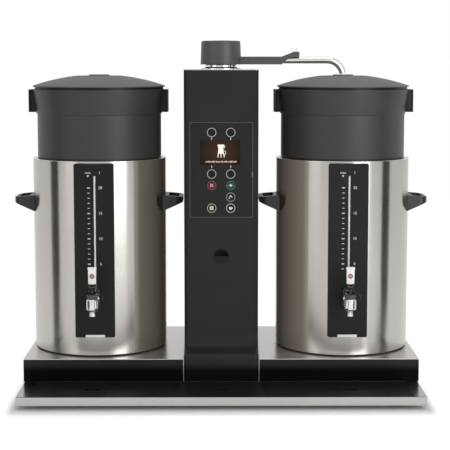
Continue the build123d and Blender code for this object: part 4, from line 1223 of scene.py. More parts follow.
    def build_key(self, name: str, look: KeyLook) -> None:
        """Builds one key and its print.

        Args:
            name: the key's node and body.
            look: its print.
        """
        low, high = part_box(name)
        centre = Vector(((low[0] + high[0]) / 2, low[1], (low[2] + high[2]) / 2))
        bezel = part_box("panel_bezel")[0][1]
        flange = (high[0] - low[0]) / 2
        radius = flange - 1.5 * MM
        depth = high[1] - low[1]
        upright = Matrix.Translation(centre) @ Matrix.Rotation(math.radians(90), 4, "X")
        neck = bezel + self.key_neck - low[1]
        outer = radius - 0.7 * MM
        inner = outer - look.ring_width
        profile = rounded([(0.0, -self.face_drop), (inner - 0.8 * MM, -self.face_drop, 0.6 * MM),
                           (inner - 0.3 * MM, 0.0, 0.3 * MM), (radius, 0.0, 0.5 * MM), (radius, -neck),
                           (flange, -neck, 0.2 * MM), (flange, -neck - self.key_flange, 0.2 * MM),
                           (self.key_stem, -neck - self.key_flange), (self.key_stem, -depth),
                           (0.0, -depth)], 3)
        cap = Shape().turn(profile, segments=64).move(upright)
        cap.piece(f"{name}_cap", name, KEY_FOIL, "key_black", (name,))
        ring = band(inner, outer, -0.05 * MM, self.print_rise)
        Shape().turn(ring, segments=64).move(upright).piece(f"{name}_ring", name, look.ring, "key_black")
        if look.field:
            field = band(0.0, inner - MM, -0.2 * MM, -0.1 * MM)
            disc = Shape().turn(field, segments=48).move(upright)
            disc.piece(f"{name}_field", name, look.field, "key_black")
        if look.icon is not Icon.NONE:
            self.build_icon(name, look, centre)

    def build_icon(self, name: str, look: KeyLook, centre: Vector) -> None:
        """Builds the sign on a key.

        Args:
            name: the key.
            look: its print.
            centre: the middle of the key's face.
        """
        icon = Shape()
        front, back = centre.y - 0.05 * MM, centre.y + self.face_drop + 0.05 * MM
        place = (centre.x, centre.z)
        if look.icon is Icon.CROSS:
            icon.prism(self.cross(5.6 * MM, 1.1 * MM), "XZ", front, back, 0.0, place)
        elif look.icon is Icon.ARROW:
            head = rounded([(-0.8 * MM, -4.2 * MM, 0.6 * MM), (5.2 * MM, 0.0, 0.6 * MM),
                            (-0.8 * MM, 4.2 * MM, 0.6 * MM)], 3)
            icon.prism(head, "XZ", front, back, 0.0, place)
            icon.block((centre.x - 5.4 * MM, front, centre.z - MM),
                       (centre.x - 0.8 * MM, back, centre.z + MM))
        elif look.icon is Icon.TAP:
            spout = ring_points(Vector((centre.x, (front + back) / 2, centre.z - 0.6 * MM)), 3.4 * MM, 13,
                                -0.1 * math.pi, 1.2 * math.pi)
            icon.sweep([point + Vector((0, 0.75 * MM, 0)) for point in spout], 1.25 * MM, 8)
            icon.prism(rounded([(-5.6 * MM, -4.6 * MM, 0.5 * MM), (-2.2 * MM, -4.6 * MM, 0.5 * MM),
                                (-2.2 * MM, -2.8 * MM, 0.5 * MM),
                                (-5.6 * MM, -2.8 * MM, 0.5 * MM)], 3), "XZ", front, back, 0.0, place)
            icon.block((centre.x - MM, front, centre.z + 3.4 * MM),
                       (centre.x + MM, back, centre.z + 5.6 * MM))
        elif look.icon is Icon.SQUARES:
            for u in (-1, 1):
                for v in (-1, 1):
                    x, z = centre.x + u * 2.75 * MM, centre.z + v * 2.75 * MM
                    icon.block((x - 2.3 * MM, front, z - 2.3 * MM), (x + 2.3 * MM, back, z + 2.3 * MM))
        else:
            bowl = rounded([(-5.4 * MM, 3.0 * MM, MM), (-3.8 * MM, -4.2 * MM, 2.4 * MM),
                            (3.0 * MM, -4.2 * MM, 2.4 * MM), (4.4 * MM, 3.0 * MM, MM)], 4)
            icon.prism(bowl, "XZ", front, back, 0.0, place)
            handle = ring_points(Vector((centre.x + 3.8 * MM, (front + back) / 2 + 0.5 * MM,
                                         centre.z + 0.2 * MM)), 2.2 * MM, 9,
                                 -math.pi / 2, math.pi)
            icon.sweep(handle, 0.7 * MM, 6)
        icon.piece(f"{name}_sign", name, look.icon_ink, "key_black")

    @staticmethod
    def cross(reach: float, half: float) -> list[Flat]:
        """A diagonal cross's outline.

        Args:
            reach: from its middle to the end of an arm.
            half: half of an arm's width.

        Returns:
            Its twelve points.
        """
        points = []
        for quarter in range(4):
            for u, v in ((reach, -half), (reach, half), (half, half)):
                angle = math.pi / 4 + quarter * math.pi / 2
                points.append((u * math.cos(angle) - v * math.sin(angle),
                               u * math.sin(angle) + v * math.cos(angle)))
        return points

    def build_ticks(self) -> None:
        """Adds the short lines that point from the keys to the display."""
        low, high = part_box("display_window")
        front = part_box("panel_bezel")[0][1]
        ticks = Shape()
        for side in ("left", "right"):
            for row, z in (("top", high[2] + 1.5 * MM), ("low", low[2] - 8.5 * MM)):
                key_low, key_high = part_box(f"key_select_{row}_{side}")
                x = (key_low[0] + key_high[0]) / 2
                ticks.block((x - 1.3 * MM, front - self.print_rise, z),
                            (x + 1.3 * MM, front + 0.05 * MM, z + 7.0 * MM))
        ticks.piece("panel_ticks", "root", INK_GREY, "bezel_black")


# ---------------------------------------------------------------- swivel outlet
@dataclass
class SwivelOutlet:
    """The swinging outlet: collar, cap, arm with its grip, pipe and thumb clip."""

    body: str = "outlet_arm"
    pipe_radius: float = 9.75 * MM
    bend: float = 47.0 * MM
    bend_turn: float = 78.0
    wall: float = 1.5 * MM

    def build(self) -> None:
        """Builds the outlet's pieces."""
        dress(ARM_GREY, "swivel_arm")
        self.build_collar()
        self.build_cap()
        self.build_pipe()
        self.build_clip()

    def build_collar(self) -> None:
        """Builds the steel collar that the cap turns on."""
        node = RoundNode.of("swivel_collar")
        radius = node.radius
        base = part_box("top_plate")[1][2]
        neck = radius - 13.0 * MM
        profile = rounded([(6.5 * MM, node.low), (12.0 * MM, node.low, MM), (12.0 * MM, base),
                           (radius, base), (radius, base + 3.0 * MM, 1.2 * MM),
                           (neck + 4.0 * MM, base + 3.0 * MM, 1.5 * MM),
                           (neck, base + 6.0 * MM, 1.5 * MM), (neck, base + 13.0 * MM, MM),
                           (12.0 * MM, base + 13.0 * MM), (12.0 * MM, node.high, MM),
                           (6.5 * MM, node.high)], 4)
        collar = Shape().turn(profile, node.axis, 128)
        collar.piece("collar_turned", "root", CHROME, "polished_steel", ("swivel_collar",))

    def build_cap(self) -> None:
        """Builds the moulded cap."""
        node = RoundNode.of("swivel_cap")
        radius = node.radius
        crown = node.high - MM
        top_radius = radius - 2.5 * MM
        profile = rounded([(12.1 * MM, node.low + 2 * MM), (21.0 * MM, node.low + 2 * MM),
                           (21.0 * MM, crown - 3 * MM), (top_radius - 3 * MM, crown - 3 * MM, 2 * MM),
                           (radius - 3 * MM, node.low), (radius, node.low, 0.8 * MM),
                           (top_radius, crown, 4.0 * MM), (top_radius * 0.5, crown + 0.8 * MM, 20 * MM),
                           (0.0, crown + MM), (0.0, crown - 8 * MM), (12.1 * MM, crown - 8 * MM)], 5)
        cap = Shape().turn(profile, node.axis, 128)
        cap.piece("cap_moulded", self.body, ARM_GREY, "warm_grey_moulded", ("swivel_cap",))
        band = [(radius - 0.5 * MM, node.low - 0.1 * MM), (radius + 0.15 * MM, node.low - 0.1 * MM),
                (radius + 0.1 * MM, node.low + 2.2 * MM), (radius - 0.6 * MM, node.low + 2.2 * MM)]
        Shape().turn(band, node.axis, 128).piece("cap_lower_edge", self.body, TRIM_GREY,
                                                 "warm_grey_moulded")

    def build_pipe(self) -> None:
        """Builds the bent steel pipe, closed at its end inside a rolled lip, with a dark disc just inside
        the lip as painted shade for an open pipe's inside.
        """
        low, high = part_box("outlet_pipe")
        y = (low[1] + high[1]) / 2
        z = high[2] - self.pipe_radius
        turn = math.radians(self.bend_turn)
        end_x = high[0] - self.pipe_radius * math.sin(turn)
        bend_x = end_x - self.bend * math.sin(turn)
        path = [Vector((12.5 * MM, y, z)), Vector((bend_x * 0.5, y, z)), Vector((bend_x, y, z))]
        steps = 28
        for step in range(1, steps + 1):
            angle = turn * step / steps
            path.append(Vector((bend_x + self.bend * math.sin(angle), y,
                                z - self.bend * (1 - math.cos(angle)))))
        pipe = Shape().sweep(path, self.pipe_radius, 40)
        ahead = Vector((math.cos(turn), 0.0, -math.sin(turn)))
        mouth = [(self.pipe_radius, 0.0), (self.pipe_radius, 0.5 * MM),
                 (self.pipe_radius - 0.6 * MM, 0.9 * MM), (self.pipe_radius - self.wall, 0.5 * MM),
                 (self.pipe_radius - self.wall, -0.02 * MM)]
        lip = Shape().turn(mouth, segments=40)
        facing = ahead.to_track_quat("Z", "X").to_matrix().to_4x4()
        place = Matrix.Translation(path[-1] - ahead * 0.9 * MM) @ facing
        pipe.take(lip.mesh, place)
        pipe.piece("pipe_bent", self.body, STEEL_PIPE, "polished_steel", ("outlet_pipe",))
        # Painted shade: a dark disc just inside the lip stands in for the shaded inside of the open pipe.
        shade_disc = band(0.0, self.pipe_radius - self.wall, 0.0, 0.2 * MM)
        dark = Shape().turn(shade_disc, segments=40)
        dark.move(Matrix.Translation(ahead * -0.15 * MM) @ place)
        dark.piece("pipe_mouth", self.body, DARK_LINE_AND_SHADE, "polished_steel")

    def build_clip(self) -> None:
        """Builds the small thumb clip on the grip."""
        low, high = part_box("grip_knob")
        x, y = axis_of(low, high)
        clip = Shape()
        stem = rounded([(0.0, low[2]), (5.5 * MM, low[2]), (5.5 * MM, low[2] + 3 * MM, MM),
                        (3.2 * MM, low[2] + 4.5 * MM, MM), (3.2 * MM, high[2] - 3 * MM, MM),
                        (0.0, high[2] - 2 * MM)], 3)
        clip.turn(stem, (x, y), 32)
        for side in (-1, 1):
            wing = rounded([(0.0, -3.2 * MM), (side * 8.6 * MM, 0.6 * MM, 1.5 * MM),
                            (side * 9.6 * MM, 4.4 * MM, 1.2 * MM), (side * 6.2 * MM, 4.9 * MM, 1.2 * MM),
                            (0.0, 0.4 * MM, MM)][::side], 4)
            clip.prism(wing, "XZ", y - 2.4 * MM, y + 2.4 * MM, 0.8 * MM, (x, high[2] - 5 * MM))
        clip.piece("grip_clip", self.body, CHROME, "polished_steel", ("grip_knob",))


# ---------------------------------------------------------------- containers
def pivot_of(node: str) -> Vector:
    """Where the joint of a node's own body is."""
    joint = next(entry for entry in FRAME["joints"] if entry["child"] == node)
    return Vector(joint["pos_m"])


@dataclass
class Container:
    """One insulated container: shell, rim, plinth, tap panel with its scale, and sight gauge."""

    side: Side
    wall: float = 1.2 * MM
    rim_width: float = 12.0 * MM
    rim_height: float = 7.5 * MM
    plinth_inset: float = 5.0 * MM
    plinth_height: float = 4.0 * MM
    litre: float = 13.87 * MM
    full_mark: float = 65.2 * MM
    tick_x: float = -14.0 * MM
    number_x: float = 17.5 * MM
    print_rise: float = 0.12 * MM
    tab_half: float = 26.5 * MM

    def __post_init__(self) -> None:
        """Reads the container's places off its nodes."""
        self.body = f"container_{self.side.word}"
        shell = RoundNode.of(self.node("shell"))
        self.axis, self.radius = shell.axis, shell.radius
        self.low, self.rim = shell.low, shell.high

    def node(self, piece: str) -> str:
        """The name of one of this side's nodes."""
        return f"{piece}_{self.side.word}"

    def build(self) -> None:
        """Builds the container's pieces."""
        dress(STEEL_MILL, self.node("vessel"))
        dress(WOOL, self.node("insulation"))
        dress(HANDLE_BLACK, self.node("handles"))
        dress(PANEL_BLACK, self.node("tap_panel"))
        self.build_shell()
        self.build_scale()
        self.build_gauge()

    def build_shell(self) -> None:
        """Builds the brushed shell, its bright rim, its plinth painted near black as painted shade, and the
        tab under the panel painted white as a painted highlight.
        """
        base = self.low + self.plinth_height
        top = self.rim - 1.6 * MM
        inner = self.radius - self.wall
        wall = rounded([(0.0, base), (self.radius, base, 1.5 * MM), (self.radius, top), (inner, top),
                        (inner, base + 1.5 * MM), (0.0, base + 1.5 * MM)], 3)
        shell = Shape().turn(wall, self.axis, 192)
        shell.piece(self.node("shell_brushed"), self.body, STEEL_ROUND, "brushed_steel",
                    (self.node("shell"),))
        flange = self.rim - self.rim_height
        rim_in = self.radius - self.rim_width
        ring = rounded([(rim_in, flange), (inner, flange), (inner, top - MM),
                        (self.radius, top - MM, 0.3 * MM), (self.radius, self.rim, 1.4 * MM),
                        (rim_in, self.rim, 1.4 * MM)], 4)
        Shape().turn(ring, self.axis, 192).piece(self.node("shell_rim"), self.body, STEEL_RIM,
                                                 "brushed_steel")
        # The plinth is recessed under the shell; its near-black is painted shade, darkening the gap where
        # the shell meets the deck.
        foot = self.radius - self.plinth_inset
        plinth = band(foot - 4 * MM, foot, self.low, base + 0.5 * MM)
        Shape().turn(plinth, self.axis, 128).piece(self.node("shell_plinth"), self.body, RUBBER_AND_PAINTED_SHADE,
                                                   "brushed_steel")
        # The tab is a steel lip painted white: a painted highlight standing in for the bright reflection on
        # it.
        panel_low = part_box(self.node("tap_panel"))[0]
        tab = Shape()
        tab.block((self.axis[0] - self.tab_half, panel_low[1] + 0.8 * MM, panel_low[2] + 0.3 * MM),
                  (self.axis[0] + self.tab_half, panel_low[1] + 6.0 * MM, panel_low[2] + 6.9 * MM),
                  0.5 * MM)
        tab.piece(self.node("panel_tab"), self.body, PAD_WHITE_AND_HIGHLIGHT, "brushed_steel")

    def build_scale(self) -> None:
        """Prints the litre scale on the tap panel."""
        low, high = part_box(self.node("tap_panel"))
        front = low[1] - self.print_rise
        back = low[1] + 0.05 * MM
        x = self.axis[0]
        full = high[2] - self.full_mark
        marks = Shape()
        for litres in range(4, 21):
            z = full - (20 - litres) * self.litre
            half = (3.8 if litres % 5 == 0 else 3.0) * MM
            thick = (1.2 if litres % 5 == 0 else 0.8) * MM
            marks.block((x + self.tick_x - half, front, z - thick),
                        (x + self.tick_x + half, back, z + thick))
        for litres in (5, 10, 15, 20):
            z = full - (20 - litres) * self.litre
            marks.text(str(litres), 7.4 * MM, (x + self.number_x, front, z))
        marks.text("max", 6.6 * MM, (x + self.tick_x - 1.5 * MM, front, full + 41.0 * MM))
        marks.text("l", 7.5 * MM, (x + self.number_x - 1.5 * MM, front, full + 41.0 * MM))
        arrow = [(-2.8 * MM, 2.6 * MM), (0.0, -2.6 * MM), (2.8 * MM, 2.6 * MM)]
        marks.prism(arrow, "XZ", front, back, 0.0, (x + self.tick_x - 1.5 * MM, full + 31.5 * MM))
        marks.piece(self.node("scale_print"), self.body, INK_WHITE, "black_moulded")

    def build_gauge(self) -> None:
        """Builds the sight glass and its pale core."""
        node = RoundNode.of(self.node("sight_glass"))
        radius = node.radius
        profile = rounded([(0.0, node.high), (0.0, node.high - MM), (radius - 0.6 * MM, node.high - MM),
                           (radius - 0.6 * MM, node.low), (radius, node.low),
                           (radius, node.high, 1.2 * MM)], 3)
        glass = Shape().turn(profile, node.axis, 32)
        glass.piece(self.node("gauge_glass"), self.body, TUBE_GLASS, "clear_tube",
                    (self.node("sight_glass"),))
        core = band(0.0, radius - 0.75 * MM, node.low, node.high - 1.5 * MM)
        Shape().turn(core, node.axis, 24).piece(self.node("gauge_core"), self.body, TUBE_CORE, "clear_tube")


@dataclass
class Tap:
    """A container's tap: wall plate, shank, eight-sided body, dark collar, side bail and lever."""

    side: Side
    nozzle: float = 8.5 * MM
    barrel: float = 17.0 * MM
    barrel_height: float = 28.0 * MM
    collar: float = 15.0 * MM
    collar_height: float = 12.5 * MM
    ribs: int = 30
    head: float = 6.0 * MM
    bore: float = 5.5 * MM
    shank: float = 10.0 * MM
    shank_up: float = 20.0 * MM
    pivot_up: float = 10.0 * MM
    pad_up: float = 17.5 * MM

    def __post_init__(self) -> None:
        """Reads the tap's places off its nodes."""
        self.word = self.side.word
        self.body = f"container_{self.word}"
        self.lever = f"tap_lever_{self.word}"
        self.pivot = pivot_of(self.lever)
        self.collar_top = self.pivot.z - self.pivot_up
        self.barrel_top = self.collar_top - self.collar_height
        self.barrel_low = self.barrel_top - self.barrel_height
        self.axis = (self.pivot.x, self.pivot.y)

    def build(self) -> None:
        """Builds the tap's pieces."""
        self.build_barrel()
        self.build_shank()
        self.build_collar()
        self.build_bail()
        self.build_neck()
        self.build_pad()

    def build_barrel(self) -> None:
        """Builds the eight-sided body with its nozzle, a flat side to the front, and a dark disc of painted
        shade in its bore.
        """
        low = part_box(f"tap_body_{self.word}")[0][2]
        facets = rounded([(self.bore, low + 12.0 * MM), (self.nozzle, low + 12.0 * MM),
                          (self.nozzle + 1.8 * MM, low + 14.0 * MM, 0.5 * MM),
                          (self.barrel - 1.0 * MM, self.barrel_low, 0.8 * MM),
                          (self.barrel, self.barrel_low + 4 * MM, 1.2 * MM),
                          (self.barrel, self.barrel_top - 3 * MM, 1.2 * MM),
                          (self.barrel - 3 * MM, self.barrel_top, 0.6 * MM),
                          (self.bore, self.barrel_top)], 3)
        turned = Matrix.Translation((*self.axis, 0.0)) @ Matrix.Rotation(math.pi / 8, 4, "Z")
        barrel = Shape().take(self.bevelled(Shape().turn(facets, segments=8).mesh, 0.7 * MM), turned)
        spout = rounded([(self.bore, low), (self.nozzle - 0.8 * MM, low, 0.5 * MM),
                         (self.nozzle, low + 1.2 * MM, 0.5 * MM), (self.nozzle, low + 5.0 * MM, 0.8 * MM),
                         (self.nozzle - 1.2 * MM, low + 6.5 * MM, 0.6 * MM),
                         (self.nozzle - 1.2 * MM, low + 10.5 * MM, 0.6 * MM),
                         (self.nozzle + 0.6 * MM, low + 12.5 * MM, 0.5 * MM),
                         (self.bore, low + 13.0 * MM)], 3)
        barrel.turn(spout, self.axis, 48)
        barrel.piece(f"tap_barrel_{self.word}", self.body, NICKEL, "polished_steel",
                     (f"tap_body_{self.word}",))
        seams = Shape()
        for corner in range(8):
            angle = (corner + 0.5) * math.pi / 4
            spot = Vector((self.axis[0] + (self.barrel - 0.5 * MM) * math.cos(angle),
                           self.axis[1] + (self.barrel - 0.5 * MM) * math.sin(angle), 0.0))
            seams.sweep([spot + Vector((0, 0, self.barrel_low + 5 * MM)),
                         spot + Vector((0, 0, self.barrel_top - 4 * MM))], 0.75 * MM, 8)
        seams.piece(f"tap_seams_{self.word}", self.body, COLLAR_GREY, "polished_steel")
        # Painted shade: a dark disc up the bore stands in for the nozzle's shaded inside.
        dark = band(0.0, self.bore, low + 4 * MM, low + 5 * MM)
        Shape().turn(dark, self.axis, 32).piece(f"tap_mouth_{self.word}", self.body, DARK_LINE_AND_SHADE,
                                                "polished_steel")

    @staticmethod
    def bevelled(mesh: bmesh.types.BMesh, width: float) -> bmesh.types.BMesh:
        """Breaks a mesh's upright sharp edges.

        Args:
            mesh: the mesh.
            width: the bevel's width.

        Returns:
            The same mesh.
        """
        bmesh.ops.remove_doubles(mesh, verts=mesh.verts[:], dist=1e-6)
        bmesh.ops.recalc_face_normals(mesh, faces=mesh.faces[:])
        upright = [line for line in folds(mesh, 30.0)
                   if abs((line.verts[0].co - line.verts[1].co).normalized().z) > 0.5]
        ease(mesh, upright, width)
        return mesh

    def build_shank(self) -> None:
        """Builds the shank with its nut, and the dark wall plate."""
        x, y = self.axis
        shank_z = self.barrel_low + self.shank_up
        back = Matrix.Translation((x, y, shank_z)) @ Matrix.Rotation(math.radians(-90), 4, "X")
        panel_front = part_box(f"tap_panel_{self.word}")[0][1]
        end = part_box(f"tap_body_{self.word}")[1][1] - y
        reach = panel_front - 10.0 * MM - y
        shank = rounded([(0.0, 0.0), (self.shank, 0.0), (self.shank, reach * 0.45),
                         (11.5 * MM, reach * 0.47, 0.5 * MM), (11.5 * MM, reach * 0.55, 0.5 * MM),
                         (self.shank, reach * 0.57), (self.shank, reach - 9 * MM),
                         (0.0, reach - 9 * MM)], 3)
        made = Shape().turn(shank, segments=48)
        nut = rounded([(0.0, reach - 10 * MM), (13.8 * MM, reach - 10 * MM, MM),
                       (15.0 * MM, reach - 8.8 * MM, 0.4 * MM), (15.0 * MM, reach - 1.2 * MM, 0.4 * MM),
                       (13.8 * MM, reach, MM), (0.0, reach)], 3)
        made.turn(nut, segments=6)
        made.turn(band(0.0, self.shank, reach, end), segments=32)
        made.move(back).piece(f"tap_shank_{self.word}", self.body, CHROME, "polished_steel")
        plate = Shape()
        plate.block((x - 14 * MM, panel_front - 9.8 * MM, shank_z - 25 * MM),
                    (x + 14 * MM, panel_front + 4 * MM, shank_z + 25 * MM), 2.5 * MM, 3)
        plate.piece(f"tap_wall_plate_{self.word}", self.body, HANDLE_BLACK, "polished_steel")

    def build_collar(self) -> None:
        """Builds the ribbed dark collar with the lug that the lever turns on."""
        x, y = self.axis
        low, high = self.barrel_top, self.collar_top
        collar = Shape()
        profile = rounded([(4.0 * MM, low - MM), (12.6 * MM, low - MM),
                           (12.6 * MM, low + 2.6 * MM, 0.5 * MM), (self.collar, low + 4 * MM, 0.8 * MM),
                           (self.collar, high - 1.5 * MM, 1.2 * MM), (10.0 * MM, high, 0.8 * MM),
                           (4.0 * MM, high)], 3)
        collar.turn(profile, self.axis, 64)
        for step in range(self.ribs):
            angle = 2 * math.pi * step / self.ribs
            spot = Vector((x + self.collar * math.cos(angle), y + self.collar * math.sin(angle), 0.0))
            collar.sweep([spot + Vector((0, 0, low + 5 * MM)), spot + Vector((0, 0, high - 2.5 * MM))],
                         0.55 * MM, 6)
        collar.piece(f"tap_collar_{self.word}", self.body, COLLAR_GREY, "polished_steel")
        lug = Shape()
        z = self.pivot.z
        outline = rounded([(y - 6.0 * MM, high - MM), (y + 6.0 * MM, high - MM), (y + 7.0 * MM, z),
                           (y + 5 * MM, z + 7 * MM, 5 * MM), (y - 5 * MM, z + 7 * MM, 5 * MM),
                           (y - 7.0 * MM, z)], 5)
        lug.prism(outline, "YZ", x - 3.0 * MM, x + 3.0 * MM, 0.6 * MM)
        lug.piece(f"tap_lug_{self.word}", self.body, HANDLE_BLACK, "polished_steel")

    def build_bail(self) -> None:
        """Builds the thin wire bail beside the collar."""
        start = Vector((*self.axis, self.collar_top + 4 * MM)) + Vector((9 * MM, 0, 0))
        steps = ((0, 0), (9, -0.5), (16, -5), (19, -12), (17.5, -20), (11, -24))
        path = [start + Vector((u * MM, 0, w * MM)) for u, w in steps]
        bail = Shape().sweep(self.smooth(path, 6), 1.0 * MM, 10)
        bail.piece(f"tap_bail_{self.word}", self.body, HANDLE_BLACK, "polished_steel")

    @staticmethod
    def smooth(points: list[Vector], steps: int) -> list[Vector]:
        """A smooth line through points.

        Args:
            points: the points.
            steps: points in each run.

        Returns:
            The line's points.
        """
        line = []
        for index in range(len(points) - 1):
            before = points[max(index - 1, 0)]
            first, second = points[index], points[index + 1]
            after = points[min(index + 2, len(points) - 1)]
            for step in range(steps):
                t = step / steps
                bend = (2 * before - 5 * first + 4 * second - after) * t * t
                cubic = (3 * first - before - 3 * second + after) * t ** 3
                line.append(0.5 * (2 * first + (second - before) * t + bend + cubic))
        line.append(points[-1])
        return line

    def build_neck(self) -> None:
        """Builds the lever's black fork with its pin."""
        x, y, z = self.pivot
        pad_low = z + self.pad_up
        neck = Shape()
        cheek = rounded([(y - 8.3 * MM, z - 2 * MM, 5 * MM), (y - 4 * MM, z - 8.3 * MM, 4 * MM),
                         (y + 4 * MM, z - 8.3 * MM, 4 * MM), (y + 8.3 * MM, z - 2 * MM, 5 * MM),
                         (y + 7 * MM, z + 9 * MM, MM), (y - 7 * MM, z + 9 * MM, MM)],
                        5)
        for side in (-1, 1):
            edges = sorted((x + side * 3.3 * MM, x + side * 9.1 * MM))
            neck.prism(cheek, "YZ", edges[0], edges[1], 0.8 * MM)
        bridge = rounded([(-9.1 * MM, 7.4 * MM, MM), (9.1 * MM, 7.4 * MM, MM), (10.6 * MM, 18.5 * MM, MM),
                          (5.0 * MM, 18.5 * MM, MM), (2.6 * MM, 13.5 * MM, 2 * MM),
                          (-2.6 * MM, 13.5 * MM, 2 * MM), (-5.0 * MM, 18.5 * MM, MM),
                          (-10.6 * MM, 18.5 * MM, MM)], 4)
        neck.prism(bridge, "XZ", y - 6.2 * MM, y + 6.2 * MM, 0.7 * MM, (x, z))
        neck.block((x - 9.0 * MM, y - 2.5 * MM, z + 12.0 * MM), (x + 9.0 * MM, y + 4.0 * MM, pad_low + MM),
                   MM)
        neck.piece(f"{self.lever}_neck", self.lever, BLACK_AND_PAINTED_SHADE, "black_moulded")
        smile = ring_points(Vector((x, y - 6.0 * MM, z + 17.0 * MM)), 8.0 * MM, 13, -0.88 * math.pi,
                            0.76 * math.pi)
        rim = Shape().sweep(smile, 0.75 * MM, 8)
        rim.piece(f"{self.lever}_fork_rim", self.lever, LATCH_GREY, "black_moulded")
        pin = rounded([(0.0, -9.9 * MM), (2.4 * MM, -9.9 * MM, 0.6 * MM), (2.4 * MM, 9.9 * MM, 0.6 * MM),
                       (0.0, 9.9 * MM)], 3)
        place = Matrix.Translation(self.pivot) @ Matrix.Rotation(math.radians(90), 4, "Y")
        axle = Shape().turn(pin, segments=32).move(place)
        axle.piece(f"{self.lever}_pin", self.lever, CHROME, "polished_steel")

    def build_pad(self) -> None:
        """Builds the lever's pale pad with its round mark."""
        low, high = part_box(self.lever)
        x, y, z = self.pivot
        pad_low = z + self.pad_up
        half = (high[0] - low[0]) / 2
        head_low = high[2] - self.head
        slim = half - 1.2 * MM
        shaft = rounded([(-slim + 0.6 * MM, pad_low, MM), (slim - 0.6 * MM, pad_low, MM),
                         (slim, head_low + 2 * MM), (-slim, head_low + 2 * MM)], 5)
        pad = Shape().prism(shaft, "XZ", y - 4.1 * MM, y + 4.5 * MM, 1.0 * MM, (x, 0.0))
        head = rounded([(-half, head_low, MM), (half, head_low, MM), (half, high[2], 2.4 * MM),
                        (-half, high[2], 2.4 * MM)], 5)
        pad.prism(head, "XZ", y - 4.5 * MM, y + 4.5 * MM, 0.9 * MM, (x, 0.0))
        pad.piece(f"{self.lever}_pad", self.lever, PAD_WHITE_AND_HIGHLIGHT, "lever_white", (self.lever,))
        spot = Matrix.Translation((x, y - 4.1 * MM, pad_low + 22.0 * MM))
        place = spot @ Matrix.Rotation(math.radians(90), 4, "X")
        for name, inner, outer, ink in (("rim", 3.8 * MM, 6.9 * MM, DOT_BROWN),
                                        ("middle", 0.0, 3.8 * MM, DOT_PALE)):
            disc = rounded([(inner, -0.1 * MM), (outer, -0.1 * MM), (outer, 0.22 * MM, 0.15 * MM),
                            (inner, 0.22 * MM)], 2)
            mark = Shape().turn(disc, segments=48).move(place)
            mark.piece(f"{self.lever}_mark_{name}", self.lever, ink, "lever_white")


